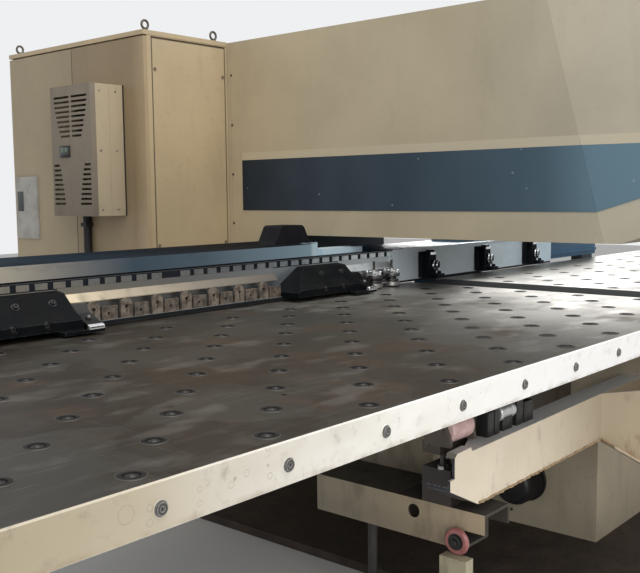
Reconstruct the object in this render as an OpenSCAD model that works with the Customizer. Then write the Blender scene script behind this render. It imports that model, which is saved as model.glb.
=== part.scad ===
// Single head sheet metal punching machine with a linear tool magazine.
// Origin: on the floor, straight below the punch axis. +X runs along the cross rail,
// +Y runs from the punch back to the column, +Z is up. All sizes are in millimetres.

/* [C frame] */
// Width over the side covers
frame_w = 980; // [900:10:1060]
// Distance from the punch axis to the back of the machine
frame_rear = 3500; // [3480:10:3700]
// Distance from the punch axis to the column, at the back of the throat
throat_rear = 1960; // [1900:10:2060]
// Height of the underside of the upper arm
arm_under = 1245; // [1235:1:1265]
// Height of the top of the upper arm
housing_top = 2250; // [2240:5:2350]
// Height of the top of the lower arm
jaw_top = 880; // [870:1:890]
// Thickness of the frame walls
frame_wall = 60; // [30:5:80]
// Sheet thickness of the covers
cover_t = 4; // [3:0.5:6]
// Thickness of the floor plate
base_t = 35; // [25:1:45]
// Radius of the anchor holes in the floor plate
anchor_r = 13; // [8:1:16]

/* [Head] */
// Radius of the ram
ram_r = 100; // [80:1:105]
// Radius of the punch tip
punch_r = 15; // [6:1:20]
// Height of the punch tip when the ram is up
punch_tip_z = 1182; // [1181:1:1184]
// How far the nose stands in front of the punch axis
nose_reach = 420; // [360:5:480]
// How far the nose sides turn inward ahead of the fold, in degrees
nose_turn = 10; // [6:1:12]
// Lean of the fold line from bottom to top
fold_lean = 270; // [220:5:300]
// Lower edge of the coloured stripe
stripe_low = 1369; // [1350:1:1400]
// Height of the coloured stripe
stripe_h = 263; // [220:1:280]
// Height of the pale band above the stripe
pale_h = 39; // [20:1:50]

/* [Tables] */
// Height of the table surface
table_h = 1000; // [999:1:1001]
// Length of each table along the rail
table_len = 3228; // [3000:2:3300]
// Depth of the tables
table_d = 1545; // [1540:1:1555]
// Distance from the punch axis to the front edge of the tables
table_front = 200; // [190:1:220]
// Thickness of the table sheet
table_t = 8; // [5:1:10]
// Height of the folded front apron
apron_h = 83; // [80:1:84]
// Width of the fixed strip between the tables
centre_w = 240; // [230:2:260]
// Spacing of the ball units along a row
ball_pitch = 314; // [300:1:330]
// Spacing of the rows of ball units
row_pitch = 137.4; // [130:0.1:140]
// Radius of the ball unit flange
flange_r = 28; // [26:1:32]
// Radius of the ball
ball_r = 13; // [10:0.5:15]

/* [Cross rail] */
// Distance from the punch axis to the front face of the rail at rest
rail_y = 1350; // [1345:1:1354]
// Height of the top of the rail
rail_top = 1172; // [1168:1:1174]
// Left end of the rail
rail_left = -2650; // [-2700:10:-2620]
// Right end of the rail
rail_right = 1450; // [1400:10:1600]
// Spacing of the cassette stations
station_pitch = 140; // [132:1:146]
// Right end of the magazine
magazine_end = -257; // [-262:1:-240]
// Spacing of the position blocks
block_pitch = 69.5; // [64:0.5:74]
// Distance between the two clamps
clamp_pitch = 1485; // [1470:1:1495]
// Spacing of the tool holders
holder_pitch = 552; // [500:1:600]
// Length of the cross beam to the left of the punch axis
beam_left = 2700; // [2680:10:2800]
// Length of the cross beam to the right of the punch axis
beam_right = 2230; // [2210:10:2320]
// Depth of the cross beam
beam_d = 360; // [350:5:380]

/* [Supports] */
// Distance from the punch axis to each support roller
roller_x = 1730; // [1722:1:1738]
// Radius of the support rollers
roller_r = 40; // [30:1:44]
// Distance from the middle to the outer face of the outriggers
outrigger_x = 1700; // [1690:1:1710]
// Height of the top of the outriggers
outrigger_top = 533; // [525:1:540]
// Radius of the outrigger wheels
wheel_r = 40; // [34:1:44]

/* [Cabinet] */
// Width across the two doors
cabinet_w = 1200; // [1180:10:1230]
// Depth of the cabinet
cabinet_d = 556; // [540:2:600]
// Distance from the punch axis to the front of the cabinet
cabinet_front = 2262; // [2262:2:2290]
// Height of the underside of the cabinet
cabinet_low = 1045; // [1000:5:1080]
// Height of the underside of the lid
cabinet_top = 2226; // [2200:2:2240]
// Sheet thickness of the cabinet
cabinet_t = 3; // [2:0.5:5]
// Width of the cooling unit
cooler_w = 338; // [320:2:360]
// Height of the cooling unit
cooler_h = 645; // [600:5:680]
// Depth of the cooling unit
cooler_d = 200; // [160:5:230]

/* [Hidden] */
$fn = 48;

paint = [0.80, 0.73, 0.60];
stripe_blue = [0.12, 0.18, 0.26];
rail_grey = [0.55, 0.60, 0.66];
zinc = [0.78, 0.76, 0.70];
dark_steel = [0.20, 0.19, 0.19];
bright_steel = [0.70, 0.71, 0.73];
black_paint = [0.10, 0.10, 0.12];
polyurethane = [0.78, 0.42, 0.42];
beam_blue = [0.24, 0.38, 0.55];

// Clearances
slide_gap = 0.3;
shaft_gap = 0.05;
seam = 2;
eps = 0.01;
far = 6000;

// C frame outline, seen from the left
frame_in_w = frame_w - 2 * cover_t;
frame_top = housing_top - cover_t;
frame_back = frame_rear - 20;
arm_front = 160;
jaw_front = -190;
body_front = 170;
jaw_depth = jaw_top - 220;
fold_tilt = atan(fold_lean / (housing_top - arm_under));
function fold_y(z) = arm_front + (z - arm_under) * fold_lean / (housing_top - arm_under);

// Head stack, from the punch tip up
stripper_low = punch_tip_z + 10;
stripper_floor = 8;
chuck_low = stripper_low + stripper_floor + 15;
ram_low = chuck_low + 45;
head_low = ram_low - 20;
ram_step = ram_low + 80;
ram_top = ram_step + 360;
head_top = ram_top + 200;
rod_r = 40;
rod_top = ram_top + 470;
cylinder_top = rod_top + 50;
chuck_r = ram_r - 25;
shank_r = 45;
shank_h = 70;
nozzle_r = ram_r - 15;
head_wall = 70;
head_half = ram_r + head_wall;

// Die stack, under the punch
die_r = 60;
die_seat = jaw_top + 25;
carrier_r = 110;
centre_t = 15;
carrier_top = table_h - centre_t - slide_gap;
die_flange_r = die_r + 9;

// Tables
centre_half = centre_w / 2;
table_back = table_d - table_front;
frame_tube = 50;
frame_low = table_h - apron_h + 5;
apron_low = table_h - apron_h;
apron_t = 5;
rail_foot = 60;
ball_rows = floor((table_back + 144 - 60) / row_pitch);
first_row = -144;
balls_in_row = floor((table_len - 40) / ball_pitch);

// Cross beam
beam_front = rail_y + 50;
beam_back = beam_front + beam_d;
beam_low = table_h + 15;
beam_top = rail_top - 7;
guide_t = 8;
rail_back = beam_front - guide_t - slide_gap;
leg_x = 600;
leg_w = 160;
cover_low = rail_top + 4;
cover_high = cover_low + 52;
cover_end = -872;
post_w = 46;

// Y guides on the base wings
wing_front = 290;
wing_back = 1800;
wing_top = jaw_top - 30;
guide_w = 40;
carriage_len = 140;

// Rail and magazine
ledge_low = table_h + 12;
ledge_t = 9;
ledge_z = ledge_low + ledge_t;
station_0 = -2055;
stations = 7;
tool_station = 11;
tool_shift = 22;
ring_r = 25;
ring_z = ledge_z + 43;
magazine_left = rail_left + 10;
clamp_end = -690;
clamp_len = 430;
jaw_t = 60;
clamp_pin_r = 8;
clamp_pin_y = rail_y - 60;
clamp_pin_z = table_h + 75;
jaw_low = table_h + 8;
jaw_plate = 10;
holder_0 = 27;

// Supports
roller_y = 62;
roller_len = 110;
roller_pin_r = 10;
arm_face = -10;
arm_depth = 80;
arm_top = 742;
arm_low = 578;
arm_corner = 880;
arm_end = 1857;
arm_sheet = 8;
outrigger_low = outrigger_top - 119;
outrigger_w = 270;
outrigger_front = -26;
outrigger_back = 606;
outrigger_nose = 140;
wheel_y = 60;
wheel_t = 16;
wheel_pin_r = 17;
wheel_z = outrigger_top - 92;
roller_z = frame_low - 96 - slide_gap - roller_r;

// Cabinet
cabinet_right = -frame_w / 2 - seam;
cabinet_left = cabinet_right - cabinet_d;
cabinet_back = cabinet_front + cabinet_w;
lid_t = 27;
door_t = 22;
door_gap = 3;
door_skin = cabinet_t;
corner_w = 26;
cooler_low = 1353;
cooler_y = cabinet_front + 165;
vent_rows = 9;
conduit_r = 21;
hinge_r = 6;

// Operator console on its boom
boom_x = frame_w / 2 + 420;
boom_y = -440;
console_w = 420;
console_h = 420;
console_d = 130;
console_low = 1290;

// Profile in the YZ plane, run along X about the middle
module across(w) {
    translate([-w / 2, 0, 0])
        rotate([90, 0, 90])
            linear_extrude(w)
                children();
}

// Profile in the YZ plane, run from x0 to x1
module span_x(x0, x1) {
    translate([x0, 0, 0])
        rotate([90, 0, 90])
            linear_extrude(x1 - x0)
                children();
}

// Profile in the XZ plane, run from y0 to y1
module span_y(y0, y1) {
    translate([0, y1, 0])
        rotate([90, 0, 0])
            linear_extrude(y1 - y0)
                children();
}

// Box between two corners
module block(a, b) {
    translate(a)
        cube([b[0] - a[0], b[1] - a[1], b[2] - a[2]]);
}

module both_sides() {
    children();
    mirror([1, 0, 0])
        children();
}

module base_plate() {
    plate_half = 1250;
    color(dark_steel)
        difference() {
            block([-plate_half, -150, 0], [plate_half, frame_rear + 50, base_t]);
            for (x = [-plate_half + 100, plate_half - 100], y = [-50, frame_rear - 50])
                translate([x, y, -1])
                    cylinder(r = anchor_r, h = base_t + 2);
        }
}

module c_frame() {
    outline = [
        [body_front, base_t], [body_front, jaw_depth - 100], [jaw_front, jaw_depth],
        [jaw_front, jaw_top], [throat_rear, jaw_top], [throat_rear, arm_under],
        [fold_y(arm_under), arm_under], [fold_y(frame_top), frame_top],
        [frame_back, frame_top], [frame_back, base_t]
    ];
    cavity = [
        [body_front + frame_wall, base_t + frame_wall],
        [body_front + frame_wall, jaw_top - frame_wall],
        [throat_rear + frame_wall, jaw_top - frame_wall],
        [throat_rear + frame_wall, arm_under + frame_wall],
        [fold_y(arm_under) + 2 * frame_wall, arm_under + frame_wall],
        [fold_y(frame_top) + 2 * frame_wall, frame_top - frame_wall],
        [frame_back + 1, frame_top - frame_wall], [frame_back + 1, base_t + frame_wall]
    ];
    color(paint)
        difference() {
            across(frame_in_w)
                polygon(outline);
            across(frame_in_w - 2 * frame_wall)
                polygon(cavity);
            translate([0, 0, jaw_depth - 120])
                cylinder(r = die_r - 20, h = 400);
        }
}

module levelling_feet() {
    foot_y = 480;
    color(zinc)
        both_sides() {
            translate([-outrigger_x + 135, foot_y, 0])
                cylinder(r = 60, h = 22);
            translate([-outrigger_x + 135, foot_y, 22])
                cylinder(r = 16, h = outrigger_low - 22);
            translate([-outrigger_x + 135, foot_y, outrigger_low - 40])
                cylinder(r = 26, h = 18, $fn = 6);
            block([-outrigger_x - 45, 9, 0], [-outrigger_x - 5, 98, wheel_z - wheel_r]);
            block([-outrigger_x - 75, -10, 0], [-outrigger_x + 25, 118, 12]);
        }
}

module cover_outline() {
    polygon([
        [fold_y(arm_under), arm_under], [fold_y(frame_top), frame_top], [frame_back, frame_top],
        [frame_back, base_t], [throat_rear, base_t], [throat_rear, arm_under]
    ]);
}

module side_cover() {
    seam_w = 4;
    difference() {
        span_x(-frame_w / 2, -frame_w / 2 + cover_t)
            cover_outline();
        for (y = [2240, frame_back - 620])
            block([-frame_w / 2 - 1, y, base_t - 1], [-frame_w / 2 + 1.5, y + seam_w, frame_top + 1]);
    }
}

module arm_cover_left() {
    color(paint)
        side_cover();
}

module arm_cover_right() {
    color(paint)
        mirror([1, 0, 0])
            side_cover();
}

module top_cover() {
    hatch_w = 520;
    rib_h = 14;
    color(paint)
        union() {
            block([-frame_w / 2, fold_y(housing_top), frame_top], [frame_w / 2, frame_back, housing_top]);
            for (y = [760, 1640, 2520])
                difference() {
                    block([-hatch_w / 2, y, housing_top], [hatch_w / 2, y + 640, housing_top + rib_h]);
                    for (x = [-180 : 60 : 180])
                        block([x, y + 200, housing_top + 4], [x + 22, y + 440, housing_top + rib_h + 1]);
                }
        }
}

module rear_cover() {
    louvre_w = 300;
    louvre_h = 14;
    color(paint)
        difference() {
            block([-frame_w / 2, frame_back, base_t], [frame_w / 2, frame_rear, housing_top]);
            block([-frame_in_w / 2 + 26, frame_back - 1, base_t + 30],
                  [frame_in_w / 2 - 26, frame_rear - cover_t, housing_top - 30]);
            for (x = [-louvre_w - 40, 40], k = [0 : 11])
                block([x, frame_back, 1640 + 36 * k], [x + louvre_w, frame_rear + 1, 1640 + 36 * k + louvre_h]);
            for (x = [-louvre_w - 40, 40], k = [0 : 7])
                block([x, frame_back, 260 + 36 * k], [x + louvre_w, frame_rear + 1, 260 + 36 * k + louvre_h]);
        }
}

// Nose of the upper arm, with its walls moved in by inset and run back past the fold by extra
module nose_block(inset, extra) {
    side_x = frame_w / 2 - inset;
    difference() {
        across(2 * side_x)
            polygon([
                [fold_y(arm_under) + extra, arm_under + inset],
                [fold_y(housing_top) + extra, housing_top - inset],
                [-nose_reach + 90 + inset, housing_top - inset],
                [-nose_reach + inset, housing_top - 150],
                [-nose_reach + inset, arm_under + 185 + inset],
                [100, arm_under + inset]
            ]);
        both_sides()
            translate([-side_x, fold_y(arm_under), arm_under])
                rotate([-fold_tilt, 0, 0])
                    rotate([0, 0, nose_turn])
                        translate([-far, -far, -far / 2])
                            cube([far, far, far]);
    }
}

module nose_cover() {
    mouth_r = head_half + 20;
    color(paint)
        difference() {
            nose_block(0, 0);
            nose_block(cover_t, 10);
            translate([0, 0, arm_under - 10])
                cylinder(r = mouth_r, h = 200);
            block([-head_half - 6, -head_half - 6, arm_under - 10],
                  [head_half + 6, fold_y(arm_under + 190) + 20, arm_under + 190]);
        }
}

module stripe_profile() {
    low = stripe_low;
    high = stripe_low + stripe_h + pale_h;
    stripe_back = 2160;
    polygon([
        [stripe_back, low], [stripe_back, high], [-nose_reach + 60, high],
        [-nose_reach + 60, high - 120], [fold_y(low), low]
    ]);
}

// Part of the stripe ahead of the fold, a sheet on the turned side of the nose
module nose_stripe(thickness) {
    intersection() {
        translate([-frame_w / 2, fold_y(arm_under), arm_under])
            rotate([-fold_tilt, 0, 0])
                rotate([0, 0, nose_turn])
                    translate([-thickness, -far, -far / 2])
                        cube([thickness, far - slide_gap, far]);
        across(2 * frame_w)
            stripe_profile();
    }
}

module band_panels() {
    band_t = 2;
    color(stripe_blue)
        both_sides() {
            span_x(-frame_w / 2 - band_t, -frame_w / 2)
                intersection() {
                    stripe_profile();
                    polygon([
                        [fold_y(arm_under) + slide_gap, arm_under],
                        [fold_y(housing_top) + slide_gap, housing_top],
                        [frame_rear, housing_top], [frame_rear, arm_under]
                    ]);
                }
            nose_stripe(band_t);
        }
}

module head_body() {
    half = head_half;
    color(paint)
        difference() {
            union() {
                across(2 * half)
                    polygon([
                        [-half, head_low + 60], [fold_y(head_low + 60), head_low + 60],
                        [fold_y(head_top), head_top], [-half, head_top]
                    ]);
                translate([0, 0, head_low])
                    cylinder(r = ram_r + 40, h = 61);
            }
            translate([0, 0, head_low - 1])
                cylinder(r = ram_r, h = head_top - head_low + 2);
        }
}

module ram_cylinder() {
    bore = ram_r - 10;
    color(bright_steel)
        difference() {
            translate([0, 0, head_top])
                cylinder(r = ram_r + 35, h = cylinder_top - head_top);
            translate([0, 0, head_top - 1])
                cylinder(r = rod_r, h = 52);
            translate([0, 0, head_top + 50])
                cylinder(r = bore, h = cylinder_top - head_top - 62);
        }
}

module ram() {
    color(bright_steel)
        difference() {
            union() {
                translate([0, 0, ram_low])
                    cylinder(r = nozzle_r - shaft_gap, h = ram_step - ram_low);
                translate([0, 0, ram_step])
                    cylinder(r = ram_r - shaft_gap, h = ram_top - ram_step);
                translate([0, 0, ram_top])
                    cylinder(r = rod_r - shaft_gap, h = rod_top - ram_top - 30);
                translate([0, 0, rod_top - 30])
                    cylinder(r = ram_r - 10 - shaft_gap, h = 30);
            }
            translate([0, 0, ram_low - 1])
                cylinder(r = shank_r, h = shank_h + 3);
        }
}

module punch() {
    notch_w = 10;
    color(bright_steel)
        difference() {
            union() {
                translate([0, 0, punch_tip_z])
                    cylinder(r = punch_r, h = chuck_low - punch_tip_z);
                translate([0, 0, chuck_low])
                    cylinder(r = chuck_r, h = ram_low - chuck_low - slide_gap);
                translate([0, 0, ram_low - slide_gap - eps])
                    cylinder(r = shank_r - shaft_gap, h = shank_h);
            }
            for (a = [0 : 30 : 330])
                rotate([0, 0, a])
                    translate([chuck_r - 5, -notch_w / 2, chuck_low - 1])
                        cube([20, notch_w, ram_low - chuck_low - 10]);
        }
}

module stripper() {
    color(bright_steel)
        difference() {
            translate([0, 0, stripper_low])
                cylinder(r = ram_r - 2 * shaft_gap, h = ram_step - 20 - stripper_low);
            translate([0, 0, stripper_low + stripper_floor])
                cylinder(r = nozzle_r, h = ram_step - stripper_low);
            translate([0, 0, stripper_low - 1])
                cylinder(r = punch_r + 1, h = stripper_floor + 2);
            difference() {
                translate([0, 0, stripper_low - 1])
                    cylinder(r = ram_r + 1, h = 7);
                translate([0, 0, stripper_low - 2])
                    cylinder(r = ram_r - 30, h = 9);
            }
        }
}

module die_carrier() {
    color(paint)
        difference() {
            translate([0, 0, jaw_top])
                cylinder(r = carrier_r, h = carrier_top - jaw_top);
            translate([0, 0, die_seat])
                cylinder(r = die_r, h = table_h);
            translate([0, 0, jaw_top - 1])
                cylinder(r = die_r - 20, h = table_h);
        }
}

module die() {
    color(bright_steel)
        difference() {
            union() {
                translate([0, 0, die_seat + slide_gap])
                    cylinder(r = die_r - shaft_gap, h = table_h - die_seat - slide_gap);
                translate([0, 0, carrier_top + slide_gap])
                    cylinder(r = die_flange_r, h = table_h - carrier_top - slide_gap);
            }
            translate([0, 0, die_seat - 1])
                cylinder(r = punch_r + slide_gap, h = table_h);
            translate([0, 0, die_seat - 1])
                cylinder(r = punch_r + 8, h = table_h - die_seat - 20);
        }
}

module centre_plate() {
    half = centre_half - 1;
    plate_back = rail_y - 60;
    rib_t = 16;
    color(dark_steel)
        difference() {
            union() {
                block([-half, -table_front, table_h - centre_t], [half, plate_back, table_h]);
                for (x = [-half + 20, half - 20 - rib_t]) {
                    block([x, carrier_r + 8, jaw_top], [x + rib_t, plate_back, table_h - centre_t]);
                    block([x, jaw_front, jaw_top], [x + rib_t, -carrier_r - 8, table_h - centre_t]);
                }
                block([-half, jaw_front, jaw_top], [half, jaw_front + rib_t, table_h - centre_t]);
            }
            translate([0, 0, table_h - centre_t - 1])
                cylinder(r = die_flange_r + 1, h = centre_t + 2);
        }
}

// Folded sheet arm that reaches out to the left under the table
module support_arm() {
    heading = 35;
    reach = (arm_corner - frame_in_w / 2) / cos(heading);
    drop = 0.6;
    flange_w = 90;
    notch = 12;
    difference() {
        span_y(arm_face, arm_face + arm_depth)
            polygon([
                [-arm_end, 640], [-arm_end, 671], [-arm_end + 22, 671],
                [-arm_end + 22, arm_top - 14], [-arm_end + 34, arm_top - 3],
                [-arm_end + 105, arm_top], [-arm_end + 112, arm_top - notch],
                [-arm_end + 128, arm_top - notch], [-arm_corner, arm_top], [-frame_in_w / 2, arm_top],
                [-frame_in_w / 2, arm_low], [-arm_end + 145, arm_low - 10]
            ]);
        span_y(arm_face + arm_sheet, arm_face + arm_depth + 1)
            polygon([
                [-arm_end - 1, 651], [-arm_end - 1, arm_top - 14 - arm_sheet],
                [-arm_end + 36, arm_top - 6 - arm_sheet],
                [-arm_end + 102, arm_top - arm_sheet], [-arm_end + 109, arm_top - notch - arm_sheet],
                [-arm_end + 130, arm_top - notch - arm_sheet], [-arm_corner, arm_top - arm_sheet],
                [-frame_in_w / 2 - 12, arm_top - arm_sheet],
                [-frame_in_w / 2 - 12, arm_low + arm_sheet], [-arm_end + 150, arm_low - 1]
            ]);
        translate([0, 0, arm_top - 40])
            linear_extrude(60)
                polygon([
                    [-arm_end + 20, arm_face + arm_depth + 1], [-arm_end + 20, arm_face + 30],
                    [-arm_end + 112, arm_face + 30], [-arm_end + 227, arm_face + arm_depth + 1]
                ]);
    }
    translate([-arm_corner, arm_face, 0])
        rotate([0, 0, -heading]) {
            span_y(0, arm_sheet)
                polygon([
                    [0, arm_low], [0, arm_top], [reach, arm_top], [reach, arm_low - drop * reach]
                ]);
            difference() {
                span_y(-flange_w, arm_sheet)
                    polygon([
                        [0, arm_low - arm_sheet], [0, arm_low], [reach, arm_low - drop * reach],
                        [reach, arm_low - arm_sheet - drop * reach]
                    ]);
                for (s = [70, 190])
                    translate([s, -flange_w / 2, 0]) {
                        for (d = [-26, 26])
                            translate([d, 0, 0])
                                cylinder(r = 9, h = arm_low + 100);
                        translate([-26, -9, 0])
                            cube([52, 18, arm_low + 100]);
                    }
            }
        }
    rib_end = -frame_in_w / 2;
    span_x(rib_end - 12, rib_end)
        polygon([
            [arm_face - reach * sin(heading), arm_low - drop * reach],
            [arm_face - reach * sin(heading), arm_top], [arm_face + arm_depth, arm_top],
            [arm_face + arm_depth, arm_low]
        ]);
}

module support_arm_left() {
    color(paint)
        support_arm();
}

module support_arm_right() {
    color(paint)
        mirror([1, 0, 0])
            support_arm();
}

// Outrigger beam with the box that carries the guide of the cross beam
module base_wing() {
    wall = 8;
    left = -outrigger_x;
    right = left + outrigger_w;
    wing_left = -1490;
    wing_right = -frame_in_w / 2;
    nose = left + outrigger_nose;
    difference() {
        union() {
            block([left, outrigger_front, outrigger_low], [nose, outrigger_back, outrigger_top]);
            block([nose - wall, wing_front, outrigger_low], [right, outrigger_back, outrigger_top]);
        }
        block([left + wall, outrigger_front - 1, outrigger_low + wall],
              [nose - wall, outrigger_back - wall, outrigger_top - wall]);
        block([nose, wing_front + wall, outrigger_low + wall],
              [right - wall, outrigger_back - wall, outrigger_top - wall]);
        block([left - 1, outrigger_front - 1, outrigger_low - 1], [nose + 1, 44, outrigger_low + 60]);
        translate([left - 1, 220, outrigger_top - 39])
            rotate([0, 90, 0])
                cylinder(r = 21, h = wall + 2);
    }
    difference() {
        block([wing_left, wing_front, outrigger_top], [wing_right, wing_back, wing_top]);
        block([wing_left + wall, wing_front + wall, outrigger_top - 1],
              [wing_right - wall, wing_back - wall, wing_top - 2 * wall]);
    }
    block([right - wall, wing_front, outrigger_low], [wing_right, wing_front + 60, outrigger_top]);
    translate([left - wheel_t - 8, wheel_y, wheel_z])
        rotate([0, 90, 0])
            cylinder(r = wheel_pin_r, h = wheel_t + 8 + wall);
}

module base_wing_left() {
    color(paint)
        base_wing();
}

module base_wing_right() {
    color(paint)
        mirror([1, 0, 0])
            base_wing();
}

// Fork with its pin, on a bracket that two studs hold above a block on the outrigger
module roller_bracket() {
    cheek = 12;
    half = roller_len / 2;
    x0 = -roller_x - half - 1 - cheek;
    x1 = -roller_x + half + 1;
    web_y = roller_y + roller_r + 3;
    shelf = arm_top - 6;
    block_top = outrigger_top + 107;
    stud_y = roller_y + 60;
    for (x = [x0, x1])
        span_x(x, x + cheek)
            polygon([
                [roller_y - 34, arm_top], [roller_y - 34, arm_top + 14],
                [roller_y - 16, roller_z + 16], [web_y + 10, roller_z + 16], [web_y + 10, arm_top]
            ]);
    block([x0, web_y, shelf], [x1 + cheek, web_y + 12, roller_z + 16]);
    block([-outrigger_x - 50, web_y - 12, shelf - 36], [-outrigger_x + 100, web_y + 50, shelf]);
    for (x = [-outrigger_x + 10, -outrigger_x + 80])
        translate([x, stud_y, block_top - 1])
            cylinder(r = 9, h = shelf - 30 - block_top);
    translate([-outrigger_x + 10, stud_y + 14, shelf - 1])
        cylinder(r = 24, h = 36);
    block([-outrigger_x + 2, stud_y - 32, outrigger_top], [-outrigger_x + 130, stud_y + 68, block_top]);
    translate([x0 - 6, roller_y, roller_z])
        rotate([0, 90, 0])
            cylinder(r = roller_pin_r, h = roller_len + 2 * cheek + 14);
}

module roller_brackets() {
    color(dark_steel)
        both_sides()
            roller_bracket();
}

module wheel_shape(r, len, bore) {
    rotate([0, 90, 0])
        rotate_extrude()
            polygon([
                [bore, 0], [r - 5, 0], [r, 5], [r, len - 5], [r - 5, len], [bore, len]
            ]);
}

module roller_left() {
    color(polyurethane)
        translate([-roller_x - roller_len / 2, roller_y, roller_z])
            wheel_shape(roller_r, roller_len, roller_pin_r + shaft_gap);
}

module roller_right() {
    color(polyurethane)
        translate([roller_x - roller_len / 2, roller_y, roller_z])
            wheel_shape(roller_r, roller_len, roller_pin_r + shaft_gap);
}

module wheel_left() {
    color(polyurethane)
        translate([-outrigger_x - wheel_t - 3, wheel_y, wheel_z])
            wheel_shape(wheel_r - slide_gap, wheel_t, wheel_pin_r + shaft_gap);
}

module wheel_right() {
    color(polyurethane)
        translate([outrigger_x + 3, wheel_y, wheel_z])
            wheel_shape(wheel_r - slide_gap, wheel_t, wheel_pin_r + shaft_gap);
}

module y_guides() {
    color(bright_steel)
        both_sides()
            block([-leg_x - guide_w / 2, wing_front, wing_top],
                  [-leg_x + guide_w / 2, wing_back, jaw_top]);
}

module cabinet_stand() {
    tube = 60;
    inset = 24;
    left = cabinet_left + inset;
    right = cabinet_right;
    front = cabinet_front + inset;
    back = cabinet_back - inset;
    color(dark_steel)
        union() {
            for (x = [left, right - tube], y = [front, back - tube])
                block([x, y, base_t], [x + tube, y + tube, cabinet_low]);
            for (z = [base_t + 120, cabinet_low - tube]) {
                for (x = [left, right - tube])
                    block([x, front, z], [x + tube, back, z + tube]);
                for (y = [front, back - tube])
                    block([left, y, z], [right, y + tube, z + tube]);
            }
        }
}

module cabinet_body() {
    left = cabinet_left + door_t;
    front = cabinet_front + 18;
    flange = 32;
    color(paint)
        difference() {
            union() {
                block([left, front, cabinet_low], [cabinet_right, cabinet_back, cabinet_top]);
                block([left, cabinet_front, cabinet_low], [left + corner_w, front + eps, cabinet_top]);
                block([cabinet_right - 14, cabinet_front, cabinet_low],
                      [cabinet_right, front + eps, cabinet_top]);
                block([left, cabinet_front, cabinet_top], [cabinet_right, cabinet_back, cabinet_top + 5]);
                block([cabinet_left - 2, cabinet_front - 2, cabinet_top + 5],
                      [cabinet_right, cabinet_back + 2, cabinet_top + lid_t]);
            }
            block([left + cabinet_t, front + cabinet_t, cabinet_low + cabinet_t],
                  [cabinet_right - cabinet_t, cabinet_back - cabinet_t, cabinet_top - cabinet_t]);
            block([left - 1, front + flange, cabinet_low + flange],
                  [left + cabinet_t + 1, cabinet_back - flange, cabinet_top - flange]);
        }
}

module cabinet_side_panel() {
    left = cabinet_left + door_t + corner_w + seam;
    right = cabinet_right - 14 - seam;
    low = cabinet_low + 6;
    high = cabinet_top - 6;
    back = cabinet_front + 18;
    color(paint)
        difference() {
            union() {
                block([left, cabinet_front + 1, low], [right, back, high]);
                for (x = [left + 18, right - 18], z = [low + 150, high - 150])
                    translate([x, cabinet_front + 1, z])
                        rotate([90, 0, 0])
                            cylinder(r = 9, h = 3);
            }
            block([left + 2, cabinet_front + 3, low + 2], [right - 2, back + 1, high - 2]);
            for (x = [left + 18, right - 18], z = [low + 150, high - 150])
                translate([x, cabinet_front - 1, z])
                    rotate([90, 0, 0])
                        cylinder(r = 4, h = 2, $fn = 3);
        }
}

// Mounting plate with rails, drives and breakers
module switchgear() {
    plate_x = cabinet_right - cabinet_t - 22;
    low = cabinet_low + 70;
    high = cabinet_top - 70;
    front = cabinet_front + 90;
    back = cabinet_back - 80;
    color(zinc)
        union() {
            block([plate_x - 4, front, low], [plate_x, back, high]);
            for (y = [front + 30, back - 30], z = [low + 30, high - 30])
                translate([plate_x - 1, y, z])
                    rotate([0, 90, 0])
                        cylinder(r = 8, h = 23);
            for (z = [low + 180, low + 430, low + 680])
                block([plate_x - 12, front + 40, z], [plate_x - 4, back - 40, z + 35]);
            for (k = [0 : 4])
                block([plate_x - 230, front + 60 + 190 * k, high - 330],
                      [plate_x - 4, front + 215 + 190 * k, high - 30]);
            for (k = [0 : 13])
                block([plate_x - 96, front + 60 + 68 * k, low + 630],
                      [plate_x - 4, front + 116 + 68 * k, low + 730]);
            for (k = [0 : 9])
                block([plate_x - 120, front + 60 + 94 * k, low + 390],
                      [plate_x - 4, front + 136 + 94 * k, low + 490]);
            block([plate_x - 80, front + 60, low + 150], [plate_x - 4, back - 60, low + 230]);
        }
}

module eye_bolt() {
    ring = 20;
    wire = 6;
    cylinder(r = 15, h = 8);
    translate([0, 0, ring + wire + 6])
        rotate([90, 0, 0])
            rotate_extrude()
                translate([ring, 0])
                    circle(r = wire);
}

module lifting_eyes() {
    color(dark_steel)
        for (x = [cabinet_left + 45, cabinet_right - 60], y = [cabinet_front + 38, cabinet_back - 38])
            translate([x, y, cabinet_top + lid_t])
                eye_bolt();
}

// Pan shaped door leaf, from y0 to y1
module door_leaf(y0, y1) {
    low = cabinet_low + 5;
    high = cabinet_top - 3;
    difference() {
        block([cabinet_left, y0, low], [cabinet_left + door_t - slide_gap, y1, high]);
        block([cabinet_left + door_skin, y0 + door_skin, low + door_skin],
              [cabinet_left + door_t, y1 - door_skin, high - door_skin]);
    }
}

module near_door() {
    color(paint)
        difference() {
            door_leaf(cabinet_front, cabinet_front + cabinet_w / 2 - door_gap / 2);
            block([cabinet_left - 1, cooler_y + 30, cooler_low + 40],
                  [cabinet_left + door_t, cooler_y + cooler_w - 30, cooler_low + cooler_h - 40]);
        }
}

module far_door() {
    color(paint)
        door_leaf(cabinet_front + cabinet_w / 2 + door_gap / 2, cabinet_back);
}

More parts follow.
